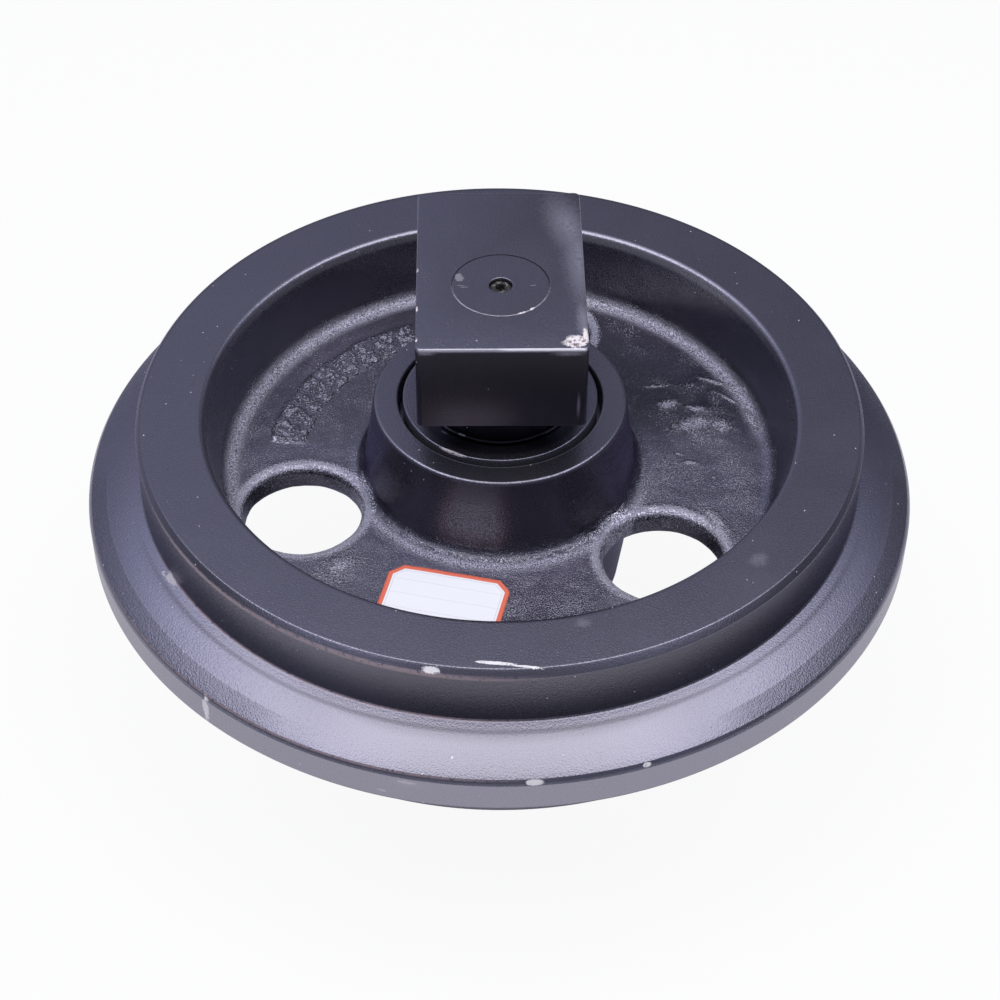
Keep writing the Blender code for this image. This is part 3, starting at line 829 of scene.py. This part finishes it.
WHEEL_SMUDGES = [
    ((37.8, -160.2, 54.5), (5.4, 4.2, 2.0), 0.0, 0.6, 0.2),
    ((127.0, -118.0, 54.5), (8.0, 6.0, 2.0), 40.0, 1.4, 0.1),
    ((-47.8, -217.2, 4.0), (12.0, 1.8, 4.0), -12.4, 1.2, 0.2),
]
# Ridges and scars of the web: middle x and y, half sizes, turn, raggedness and the share that is solid
RIDGES = [
    (94.8, 45.0, 8.0, 5.5, 8.0, 1.8, 0.3),
    (108.0, 28.5, 17.0, 8.0, 16.0, 1.7, 0.3),
    (123.0, 27.0, 10.0, 8.0, -20.0, 2.0, 0.2),
    (110.0, 41.0, 9.0, 4.0, -14.0, 1.8, 0.3),
    (121.5, 64.5, 11.0, 2.4, -22.0, 0.9, 0.4),
    (134.0, 57.5, 9.0, 3.0, -38.0, 0.9, 0.4),
    (128.5, 50.0, 11.0, 1.8, -42.0, 0.9, 0.4),
    (140.0, 32.0, 12.0, 3.4, -68.0, 1.1, 0.3),
    (103.5, -2.4, 5.2, 2.2, -8.0, 0.4, 0.5),
    (98.0, 4.6, 3.4, 1.7, -8.0, 0.4, 0.5),
    (88.5, 61.0, 10.0, 1.9, 5.0, 2.2, 0.1),
    (115.6, -14.4, 1.3, 1.9, 0.0, 0.3, 0.6),
    (-84.0, -79.4, 16.0, 10.0, 40.0, 1.6, 0.1),
    (113.5, -46.0, 14.0, 5.0, -60.0, 1.2, 0.3),
]
WEB_RIDGES = [((x, y, 13.5), (half_x, half_y, 6.0), *rest) for x, y, half_x, half_y, *rest in RIDGES]


# Sharp edges with a little rust and a painted brownish highlight: radius and height, each with the distances at
# which it fades
EDGES_WITH_RUST_AND_HIGHLIGHT = [
    ((0.1934, 0.0002, 0.0009), (0.0210, 0.0004, 0.0014)),
    ((0.1928, 0.0002, 0.0012), (0.0507, 0.0006, 0.0018)),
    ((0.2212, 0.0003, 0.0009), (0.0098, 0.0004, 0.0012)),
]


class WheelFinish(Finish):
    """The wheel's paint, and where on the wheel a point lies."""

    def __init__(self, name, **fixed):
        super().__init__(name, **fixed)
        x, self.y, self.z = self.axes(self.place)
        self.radius = self.length(x, self.y)
        self.angle = self.y.math("ARCTAN2", self.y, x)
        self.height = abs(self.z)
        self.from_middle = abs(self.z - WEB_MIDDLE)
        self.front = -self.y / self.radius
        self.left = -x / self.radius
        self.cast = dish_area(self.radius, self.height, 0.004, 0.020)
        self.outer_face = (self.radius - FLANGE_RADIUS).rise(-0.0010, -0.0004)


def painted_shade_places(paint):
    """Painted shade, and a duller mottle: upright faces, the holes' throats, the rim's chamfer, the tread more on
    the right, and the flank's outer zone, shoulders and foot at the front are painted darker, and machined faces
    get a random duller mottle.

    It gives the mask of all these places, and that of the flank's outer zone alone.
    """
    radius, height, front, left = paint.radius, paint.height, paint.front, paint.left
    flank = (FLANGE_BASE - height).rise(0.0, 0.0008)
    tread = radius.near(TREAD_RADIUS, 0.0004, 0.0009) * (RIM_FACE - RIM_CHAMFER - height).rise(0.0002, 0.0010)
    hub_wall = radius.rise(0.0655, 0.0670) * radius.fall(0.0765, 0.0790) * (HUB_FACE - height).rise(0.0010, 0.0025)
    throat = (WEB_HALF - paint.from_middle).rise(0.0008, 0.0030) * paint.cast
    chamfer = radius.rise(0.1899, 0.1906) * height.rise(0.0502, 0.0510) * 0.60
    outer = (radius - 0.2118).rise(-0.0004, 0.0008) * front.rise(-0.05, 0.10) * front.fall(0.80, 0.93)
    outer = outer * (1 - paint.outer_face)
    shoulders = flank * front.rise(0.50, 0.72) * front.fall(0.88, 0.97) * 0.22 * (1 - paint.outer_face)
    # Painted shade at the flank's foot, on the front
    foot = radius.near(0.1986, 0.0003, 0.0022) * 0.50
    foot = (foot + radius.rise(0.1976, 0.1984) * radius.fall(0.1990, 0.2060) * 0.24) * flank * front.rise(0.2, 0.7)
    mottle = paint.noise(paint.place, 1300.0, 2.0, 0.6, 12.0).rise(0.42, 0.62)
    mottle = mottle * 0.36 * (1 - paint.cast) * height.rise(0.0490, 0.0500)
    dull_and_painted_shade = strongest(tread * (0.75 - 0.45 * left.rise(0.1, 0.55)), hub_wall, throat, chamfer,
                     outer * (0.60 - 0.12 * left.rise(-0.2, 0.2)), foot, shoulders, mottle)
    return dull_and_painted_shade, outer


def cast_skin(paint):
    """The dish's grain, strongest on fillets, marks and lips: its height, its painted glints and highlights, and
    the painted shade over the web's back.
    """
    place, y, radius, angle = paint.place, paint.y, paint.radius, paint.angle
    web = (paint.from_middle - WEB_HALF).fall(0.004, 0.012)
    patches = paint.noise(place, 55.0, 2.0, 0.55, 9.0).rise(0.42, 0.66)
    around = paint.node("ShaderNodeCombineXYZ", None, {0: radius * 3.0, 1: angle * 0.06})
    streaks = paint.noise(around, 90.0, 2.0, 0.6)
    sparkle = paint.noise(place, 1150.0, 3.0, 0.65, 8.0)

    # Fillets at the rim's and the hub's foot, lips of the holes, marks, scab and ridges
    # The rim's foot is taken at the back and the hub's foot at the front, where painted highlights lie along them
    back_half = (y - 0.030 + 0.070 * paint.left.rise(-0.1, 0.2)).rise(-0.030, 0.020)
    loose = (streaks - 0.5) * 0.004 + (sparkle - 0.5) * 0.010
    rim_foot = (abs(radius - 0.1450) + loose).fall(0.0012, 0.0066) * back_half
    hub_foot = (abs(radius - 0.0812) + loose).fall(0.0010, 0.0050) * paint.front.rise(-0.1, 0.5)
    foot = rim_foot.most(hub_foot)
    from_lip = from_hole_edge(paint, radius, angle)
    top = paint.z.rise(0.009, 0.011)
    winding = paint.noise(place, 150.0, 1.5, 0.5, 7.0)
    sway = paint.noise(place, 95.0, 2.0, 0.5, 6.0)
    marks = cast_strokes(radius, angle, sway, winding) * top
    scab = scab_area(radius, angle) * top
    ridges = paint.spots(WEB_RIDGES) * top
    rough = strongest(foot, from_lip.fall(0.0018, 0.0050) * 0.9, marks * 0.8, scab * 0.70 * patches, ridges,
                      patches * 0.35) * web

    grain = paint.noise(place, 1300.0, 2.0, 0.6, 2.0).rise(0.45, 0.75)
    lumps = paint.noise(place, 380.0, 2.0, 0.55, 3.0)
    height = grain * (0.00010 + 0.00026 * rough) + lumps * (0.00010 + 0.00050 * rough) + marks * 0.0013
    height = height + ridges * 0.0012
    # Painted glints: light flecks on the grain, and painted highlights along the feet, the holes' lips, the marks
    # and the ridges
    painted_glint = sparkle.rise(0.575 - rough * 0.12, 0.675 - rough * 0.13) * (0.42 + rough * 0.58)
    foot_painted_glint = foot * streaks.rise(0.40, 0.62) * (0.20 + 0.60 * sparkle.rise(0.42, 0.58))
    lip_painted_glint = (from_lip + (sparkle - 0.5) * 0.004).fall(0.0010, 0.0028) * 0.60
    lip_painted_glint = lip_painted_glint * (WEB_HALF - paint.from_middle).rise(-0.001, 0.0004)
    painted_glint = strongest(painted_glint, foot_painted_glint, lip_painted_glint, marks * (0.10 + 0.45 * sparkle.rise(0.46, 0.58)),
                      ridges * (0.10 + 0.70 * sparkle.rise(0.44, 0.56))) * web * paint.cast
    # Painted shade over the web's back half, less on the left, and not on the feet, marks and ridges
    painted_shade = web * paint.cast * (1 - foot) * (1 - marks) * (1 - ridges * 0.8) * y.rise(-0.010, 0.050) * 0.85
    painted_shade = painted_shade * (1 - 0.55 * paint.left.rise(0.2, 0.9))
    return height * paint.cast, painted_glint, painted_shade


def dust_film(cloud, dust):
    """A thin film of dust, from wide clouds and fine grains."""
    return (cloud - 0.45).rise(0.0, 0.5) * 0.30 + (dust - 0.45).rise(0.0, 0.30) * 0.22


def wheel_paint():
    """Black satin paint on the wheel: even on machined faces, glossy and grainy on the cast dish."""
    paint = WheelFinish("black_paint_wheel", **PAINT)
    place, radius, height, front = paint.place, paint.radius, paint.height, paint.front
    dull_and_painted_shade, outer = painted_shade_places(paint)
    skin, painted_glint, painted_shade = cast_skin(paint)

    # Dust and smudges over the black, then painted sheen on the outer face, painted shade and painted glints
    dust = paint.noise(place, 1500.0, 2.0, 0.7, 4.0)
    cloud = paint.noise(place, 26.0, 3.0, 0.55, 5.0)
    smudges = paint.spots(WHEEL_SMUDGES) * 0.35
    colour = paint.blend(dust_film(cloud, dust).most(smudges), PAINT_BLACK, PAINT_DUSTY)
    colour = paint.blend(smudges * 0.35, colour, DUST)
    # Painted sheen: the flange's outer face is made lighter
    colour = paint.blend(paint.outer_face * 0.6, colour, OUTER_FACE_PAINTED_SHEEN)
    colour = paint.blend(dull_and_painted_shade, colour, PAINT_DULL_AND_SHADE)
    colour = paint.blend(painted_shade, colour, WEB_PAINTED_SHADE)
    colour = paint.blend(painted_glint, colour, PAINTED_GLINT)

    # Painted highlights on edges: the rim's bore at the back, and the hub's counterbore in front
    bore_edge_highlight = (height - 0.0478).rise(0.0, 0.0030) * radius.rise(0.1500, 0.1556) * radius.fall(0.1590, 0.1602)
    bore_edge_highlight = bore_edge_highlight * paint.y.rise(0.020, 0.110) * (0.30 + 0.20 * (-paint.left).rise(0.0, 0.4))
    colour = paint.blend(bore_edge_highlight * (0.7 + 0.6 * (paint.fray - 0.4)), colour, PAINTED_GLINT)
    counterbore_edge_highlight = radius.near(0.0548, 0.0003, 0.0007) * (HUB_FACE - height).rise(-0.001, 0.0008) * 0.5
    counterbore_edge_highlight = counterbore_edge_highlight * height.rise(0.0570, 0.0580) * front.rise(-0.2, 0.4)
    colour = paint.blend(counterbore_edge_highlight, colour, PAINTED_GLINT)

    # Specks, rust with a painted brownish highlight along the front edges, primer, and chips through to the metal
    speck = specks(paint, 400.0, 0.978, 0.17).most(specks(paint, 150.0, 0.940, 0.08)) * (1 - paint.cast)
    colour = paint.blend(speck, colour, DUST)
    edges = strongest(*(radius.near(*across) * height.near(*along) for across, along in EDGES_WITH_RUST_AND_HIGHLIGHT))
    # Rust, with a painted brownish highlight, on the front and left of the sharp edges
    rust_and_highlight = edges * (paint.fray - 0.34).rise(0.0, 0.14) * front.rise(0.3, 0.6) * paint.left.rise(-0.2, 0.25) * 0.70
    colour = paint.blend(rust_and_highlight, colour, RUST_AND_HIGHLIGHT)
    primer = paint.spots(WHEEL_PRIMER)
    colour = paint.blend(primer * 0.8, colour, PRIMER)
    chips = paint.spots(WHEEL_CHIPS)
    chip_colour = paint.blend(paint.fray.rise(0.32, 0.48), *WHEEL_CHIP)
    bare = strongest(chips, primer, rust_and_highlight, speck)
    orange = paint.noise(place, 1100.0, 2.0, 0.5) * (1 + outer * 0.8)
    peel = paint.bump(orange - chips * (1.0 - paint.fray), ORANGE_PEEL)
    paint.feed("Base Color", paint.blend(chips, colour, chip_colour))
    paint.feed("Metallic", dull_and_painted_shade.most(painted_shade) * (1 - bare) * (1 - painted_glint))
    paint.feed("Roughness", 0.28 + (cloud - 0.5) * 0.08 - paint.cast * 0.07 + (dust - 0.5) * 0.12 + bare * 0.3)
    paint.feed("Normal", paint.bump(skin, 1.0, peel))
    return paint.material


def specks(paint, scale, rarity, size):
    """Specks of dust, in a few of the cells of a fine lattice."""
    cells = {"Vector": paint.place, "Scale": scale, "Randomness": 1.0}
    distance = paint.node("ShaderNodeTexVoronoi", None, cells, "Distance")
    own_colour = paint.node("ShaderNodeTexVoronoi", None, cells, "Color")
    chance = paint.node("ShaderNodeSeparateColor", None, {"Color": own_colour}, 0)
    return distance.fall(size * 0.6, size) * chance.rise(rarity, rarity + 0.005)


# Worn places on the upper block, in the same way
BLOCK_CHIPS = [
    ((36.6, -45.4, 134.8), (6.8, 5.4, 2.4), 10.0, 1.7),
    ((41.6, -41.0, 134.4), (1.8, 8.0, 1.8), 0.0, 1.8),
    ((-42.4, -19.1, 134.6), (0.7, 2.4, 1.0), 0.0, 1.6),
    ((-42.4, 12.0, 134.6), (0.6, 1.8, 1.0), 0.0, 1.6),
    ((-42.4, -43.5, 134.6), (0.7, 2.0, 1.0), 0.0, 1.6),
    ((15.5, -19.4, 134.8), (1.9, 0.9, 1.0), 51.0, 0.8),
    ((10.2, -22.6, 134.8), (2.6, 0.8, 1.0), 24.0, 0.8),
    ((-26.0, -44.8, 60.6), (12.0, 1.4, 1.4), -29.0, 1.3),
]
BLOCK_SCRATCHES = [
    ((-18.7, -1.6, 135.0), (3.2, 0.36, 0.5), 2.0, 0.7),
    ((-20.6, -0.2, 135.0), (2.4, 0.30, 0.5), -4.0, 0.7),
    ((16.4, -0.4, 135.0), (2.2, 0.36, 0.5), 6.0, 0.7),
    ((-21.2, 6.4, 135.0), (2.6, 3.6, 1.0), 20.0, 1.2),
    ((-29.5, -29.8, 61.0), (2.4, 0.6, 0.7), -40.0, 1.4),
    ((-20.4, -32.5, 61.8), (2.4, 0.7, 0.8), -28.0, 1.4),
]
BLOCK_RUBBED = [
    ((41.5, 20.0, 135.0), (13.0, 62.0, 3.0), 4.0, 1.0, 0.0),
    ((36.0, 48.0, 135.0), (15.0, 42.0, 3.0), 14.0, 1.0, 0.0),
    ((41.5, -28.0, 135.0), (6.0, 24.0, 3.0), 0.0, 1.2, 0.0),
    ((33.0, -51.2, 132.2), (11.0, 1.4, 2.2), 0.0, 1.3, 0.1),
    ((-38.0, -51.2, 132.6), (7.0, 1.4, 1.8), 0.0, 1.3, 0.1),
    ((38.6, -51.0, 98.0), (1.3, 1.4, 11.0), 0.0, 1.0, 0.1),
]


def bracket_paint():
    """Black satin paint on the blocks and the shaft, worn through on the edges."""
    paint = Finish("black_paint_bracket", **PAINT)
    place, fray = paint.place, paint.fray
    x, y, z = paint.axes(place)
    radius = paint.length(x, y)
    height = abs(z)
    dust = paint.noise(place, 1500.0, 2.0, 0.7, 4.0)
    cloud = paint.noise(place, 30.0, 3.0, 0.55, 5.0)
    colour = paint.blend(dust_film(cloud, dust), PAINT_BLACK, PAINT_DUSTY)

    # Painted shade: upright faces are darker and duller, and the neck and what lies under the block are painted
    # dark
    dull_and_painted_shade = (BLOCK_TOP - height).rise(0.0012, 0.0024) * height.rise(0.0800, 0.0830)
    mottle = paint.noise(place, 1300.0, 2.0, 0.6, 12.0).rise(0.42, 0.62) * 0.45
    painted_shade_under_block = height.rise(0.0600, 0.0604) * height.fall(0.0840, 0.0850)
    painted_shade_under_block = painted_shade_under_block * radius.fall(0.0455, 0.0500) * abs(x).fall(0.0395, 0.0440)
    brown = dull_and_painted_shade * height.fall(0.0900, 0.1080) * x.near(-0.014, 0.008, 0.030) * 0.12
    rubbed = paint.spots(BLOCK_RUBBED) * (0.55 + 0.45 * fray.rise(0.35, 0.6))
    colour = paint.blend(mottle, colour, PAINT_DULL_AND_SHADE)
    colour = paint.blend(dull_and_painted_shade, colour, BLOCK_PAINTED_SHADE)
    colour = paint.blend(brown, colour, BLOCK_BROWN)
    colour = paint.blend(painted_shade_under_block, colour, PAINTED_UNDER_BLOCK_SHADE)
    colour = paint.blend(rubbed * 0.42, colour, RUBBED)

    # Dust in the seal gap, specks, the shaft's outline, scratches, worn edges with a painted highlight, and chips
    gap = radius.rise(0.0508, 0.0513) * height.rise(0.0500, 0.0585) * height.fall(0.0602, 0.0606)
    colour = paint.blend(gap * 0.8, colour, GAP_DUST)
    speck = specks(paint, 400.0, 0.990, 0.16).most(specks(paint, 150.0, 0.975, 0.08))
    colour = paint.blend(speck, colour, DUST)
    # The shaft's outline: a worn ring, with a painted highlight on its front side
    ring = radius.near(SHAFT_RADIUS, 0.0002, 0.0006) * height.rise(0.1325, 0.1335)
    ring = ring * (-y / radius).rise(-0.3, 0.6) * (0.45 + 0.55 * (fray - 0.42).rise(0.0, 0.1))
    lines = (paint.spots(BLOCK_SCRATCHES) * 0.45).most(ring * 0.7)
    colour = paint.blend(lines, colour, BARE_METAL)
    # The block's top front edge: worn, with a painted highlight stronger to the right
    front_edge = (BLOCK_FRONT - y).rise(-0.0012, -0.0003) * height.rise(0.1336, 0.1342)
    front_edge = front_edge * (0.45 + 0.55 * x.rise(-0.004, 0.004)) * (cloud - 0.38).rise(0.0, 0.05)
    colour = paint.blend(front_edge, colour, DUST)
    chips = paint.spots(BLOCK_CHIPS) * (0.55 + 0.45 * (fray - 0.40).rise(0.0, 0.1))
    chip_colour = paint.blend(fray.rise(0.34, 0.50), *BLOCK_CHIP)
    bare = strongest(chips, lines, front_edge, speck)
    covered = (1 - bare) * (1 - brown) * (1 - rubbed * 0.42)
    painted_neck_shade = painted_shade_under_block * radius.fall(0.0405, 0.0415)
    peel = paint.noise(place, 1100.0, 2.0, 0.5) - chips * (1.0 - fray)
    paint.feed("Base Color", paint.blend(chips, colour, chip_colour))
    paint.feed("Metallic", strongest(dull_and_painted_shade, painted_shade_under_block * 0.6, painted_neck_shade, mottle) * covered)
    roughness = 0.25 + (cloud - 0.5) * 0.08 + (dust - 0.5) * 0.12 + dull_and_painted_shade * 0.16 + bare * 0.2 + rubbed * 0.10
    paint.feed("Roughness", roughness)
    paint.feed("Normal", paint.bump(peel, ORANGE_PEEL))
    return paint.material


def steel(name, colours, roughness):
    """Turned metal with a film of oil, and fine turning marks round the shaft's axis."""
    metal = Finish(name, Metallic=1.0)
    x, y, z = metal.axes(metal.place)
    cloud = metal.noise(metal.place, 90.0, 3.0, 0.6, 1.0)
    around = metal.node("ShaderNodeCombineXYZ", None, {0: metal.length(x, y) * 9.0, 1: z * 9.0})
    turning = metal.noise(around, 300.0, 2.0)
    metal.feed("Base Color", metal.blend(cloud.rise(0.35, 0.65), *colours))
    metal.feed("Roughness", roughness + (turning - 0.5) * 0.15 + (cloud - 0.5) * 0.2)
    metal.feed("Normal", metal.bump(turning, 0.00003))
    return metal.material


def rubber():
    """Matt black nitrile rubber, greasy in places."""
    ring = Finish("nitrile_rubber")
    film = ring.noise(ring.place, 160.0, 3.0, 0.6, 2.0)
    ring.feed("Base Color", ring.blend(film, *RUBBER))
    ring.feed("Roughness", 0.35 + film.rise(0.35, 0.65) * 0.35)
    ring.feed("Normal", ring.bump(ring.noise(ring.place, 2500.0, 2.0), 0.00004))
    return ring.material


def dirty_plug():
    """The filling plug, dark with old oil and dust."""
    plug = Finish("plug_dirt")
    crust = plug.noise(plug.place, 520.0, 3.0, 0.65, 3.0)
    plug.feed("Base Color", plug.blend(crust.rise(0.50, 0.62), *OILY_DIRT))
    plug.feed("Roughness", 0.45 + crust * 0.4)
    plug.feed("Normal", plug.bump(crust, 0.0012))
    return plug.material


def dress_inner_pieces():
    """Finishes for the pieces whose shape is kept as it comes."""
    black_rubber = rubber()
    finishes = {
        "lock_pin": steel("pin_steel", PIN_STEEL, 0.38),
        "bush": steel("bush_bronze", BRONZE, 0.34),
        "seal_ring": steel("lapped_iron", LAPPED_IRON, 0.26),
        "seal_rubber": black_rubber,
        "shaft_o_ring": black_rubber,
        "oil_fill_plug": dirty_plug(),
        "plug_seal_ring": black_rubber,
    }
    for name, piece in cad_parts.items():
        for start, finish in finishes.items():
            if name.startswith(start):
                for slot in piece.material_slots:
                    slot.material = finish


def paper():
    """White paper with an orange-red border and thin empty lines."""
    finish = Finish("label_paper", Roughness=0.45)
    u, v = finish.axes(finish.node("ShaderNodeTexCoord", None, None, "UV"))[:2]
    from_side = abs(u - 0.5) * -LABEL_WIDTH + LABEL_WIDTH / 2
    from_end = (0.5 - abs(v - 0.5)) * LABEL_HEIGHT
    from_corner = (from_side + from_end - LABEL_CORNER) * sin(pi / 4)
    edge = from_side.least(from_end).least(from_corner)
    ink = finish.noise(finish.place, 500.0, 2.0)
    colour = finish.blend(edge.fall(0.0024, 0.0026), PAPER_WHITE, PAPER_BORDER)
    frame_line = edge.near(0.0036, 0.00008, 0.00018) * 0.6
    row = v * 4.0
    row_lines = abs(row - row.math("ROUND", row)).fall(0.006, 0.014) * edge.rise(0.0036, 0.0038) * 0.5
    colour = finish.blend(frame_line.most(row_lines) * (0.5 + ink * 0.5), colour, PAPER_INK)
    finish.feed("Base Color", colour)
    return finish.material


# Studio


FLOOR_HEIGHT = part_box("bracket_lower")[0].z
CAMERA_LENS = 83.59
SENSOR = 36.0
CAMERA_PITCH = radians(43.8)
CAMERA_ROLL = radians(0.37)
CAMERA_TURN = radians(-1.05)
CAMERA_DISTANCE = 1.2365
CAMERA_AIM = Vector((0.0, 0.0, 0.0527))
CAMERA_ACROSS = 0.00031
CAMERA_UP = -0.0500
FLOOR_REACH = 8.0
FLOOR_GLOW = 0.93
TABLE_WHITE = (0.86, 0.86, 0.87, 1.0)
LAMP_PLACE = Vector((0.01, -0.17, 1.2))
LAMP_WIDTH = 2.02
LAMP_DEPTH = 1.04
LAMP_RADIANCE = 2.35
ROOM_BLUE = (0.70, 0.75, 1.0, 1.0)


def camera():
    """The photograph's view: from the front and above, with a long lens."""
    back = Vector((0.0, -cos(CAMERA_PITCH), sin(CAMERA_PITCH)))
    right = Vector((1.0, 0.0, 0.0))
    up = Vector((0.0, sin(CAMERA_PITCH), cos(CAMERA_PITCH)))
    place = CAMERA_AIM + back * CAMERA_DISTANCE + right * CAMERA_ACROSS + up * CAMERA_UP
    rolled_right = right * cos(CAMERA_ROLL) + up * sin(CAMERA_ROLL)
    rolled_up = up * cos(CAMERA_ROLL) - right * sin(CAMERA_ROLL)
    pose = Matrix((rolled_right, rolled_up, back)).transposed().to_4x4()
    pose.translation = place
    data = bpy.data.cameras.new("camera")
    data.lens = CAMERA_LENS
    data.sensor_width = SENSOR
    made = linked("camera", data)
    made.matrix_world = Matrix.Rotation(CAMERA_TURN, 4, "Z") @ pose
    bpy.context.scene.camera = made


def overhead_lamp():
    """A soft rectangular lamp over the table. It points straight down."""
    data = bpy.data.lights.new("overhead_softbox", "AREA")
    data.shape = "RECTANGLE"
    data.size = LAMP_WIDTH
    data.size_y = LAMP_DEPTH
    data.energy = LAMP_RADIANCE * pi * LAMP_WIDTH * LAMP_DEPTH
    made = linked("overhead_softbox", data)
    made.location = LAMP_PLACE
    made.rotation_mode = "QUATERNION"
    made.rotation_quaternion = Vector((0.0, 0.0, -LAMP_PLACE.z)).to_track_quat("-Z", "Y")


def floor():
    """A pale table. The camera sees it near white, and mirror-like surfaces see a painted pool of light round the
    wheel with a painted shadow close under it.
    """
    mesh = bpy.data.meshes.new("floor")
    reach = FLOOR_REACH
    corners = [(-reach, -reach), (reach, -reach), (reach, reach), (-reach, reach)]
    mesh.from_pydata([(x, y, FLOOR_HEIGHT) for x, y in corners], [], [(0, 1, 2, 3)])
    made = linked("floor", mesh)
    finish = Finish("pale_table", Roughness=0.9, Base_Color=TABLE_WHITE)
    x, y = finish.axes(finish.place)[:2]
    away = finish.length(x, y)
    # Painted light for reflections: a glowing ring round the wheel, a painted shadow under it, dimmer far away
    painted_pool_and_shadow = 0.12 + 0.88 * away.rise(0.21, 0.30) * (1 - 0.85 * away.rise(0.38, 0.80))
    path = finish.tree.nodes.new("ShaderNodeLightPath")
    camera_ray, glossy_ray, through_ray = (
        Wire(finish, path.outputs[name]) for name in ("Is Camera Ray", "Is Glossy Ray", "Is Transmission Ray"))
    seen = (camera_ray + (glossy_ray + through_ray) * painted_pool_and_shadow).least(1.0)
    glow = finish.node("ShaderNodeEmission", None, {"Color": (1.0, 1.0, 1.0, 1.0), "Strength": 1.0})
    mixed = finish.node("ShaderNodeMixShader", None, {0: seen * FLOOR_GLOW, 2: glow})
    finish.tree.links.new(finish.shader.outputs[0], mixed.socket.node.inputs[1])
    finish.tree.links.new(mixed.socket, finish.tree.nodes["Material Output"].inputs["Surface"])
    made.data.materials.append(finish.material)


def studio():
    """A wide soft lamp in a dim bluish room that is lighter behind to the left, in front and high at the sides."""
    overhead_lamp()
    world = bpy.data.worlds.new("room")
    world.use_nodes = True
    bpy.context.scene.world = world
    room = Tree(world.node_tree)
    x, y, z = room.axes(room.node("ShaderNodeTexCoord", None, None, "Generated"))
    behind = y.rise(0.0, 0.55) * (0.36 - 0.25 * x.rise(-0.10, 0.20) + 0.18 * z.rise(0.66, 0.80))
    corners = abs(x).rise(0.30, 0.55) * (z.rise(0.45, 0.62) * 0.45 + z.rise(0.62, 0.80) * 0.65)
    corners = corners * (1.25 - 0.25 * x.rise(-0.2, 0.2))
    in_front = (-y).rise(0.1, 0.6) * z.rise(0.10, 0.30) * 0.28
    sides = abs(x + 0.1).rise(0.55, 0.90) * z.fall(0.15, 0.45) * (0.22 - 0.12 * x.rise(-0.2, 0.2))
    strength = 0.04 + behind + corners + in_front + sides
    background = world.node_tree.nodes["Background"]
    background.inputs["Color"].default_value = ROOM_BLUE
    world.node_tree.links.new(strength.socket, background.inputs["Strength"])


def main():
    """Dress the frame and set the studio up."""
    camera()
    black = wheel_paint()
    worn_black = bracket_paint()
    wheel_piece = wheel(black)
    bracket("bracket_upper_block", "bracket_upper", worn_black, False)
    bracket("bracket_lower_block", "bracket_lower", worn_black, True)
    shaft(worn_black)
    label(paper(), wheel_piece)
    dress_inner_pieces()
    floor()
    studio()
    bpy.context.scene.view_settings.view_transform = "Standard"


main()
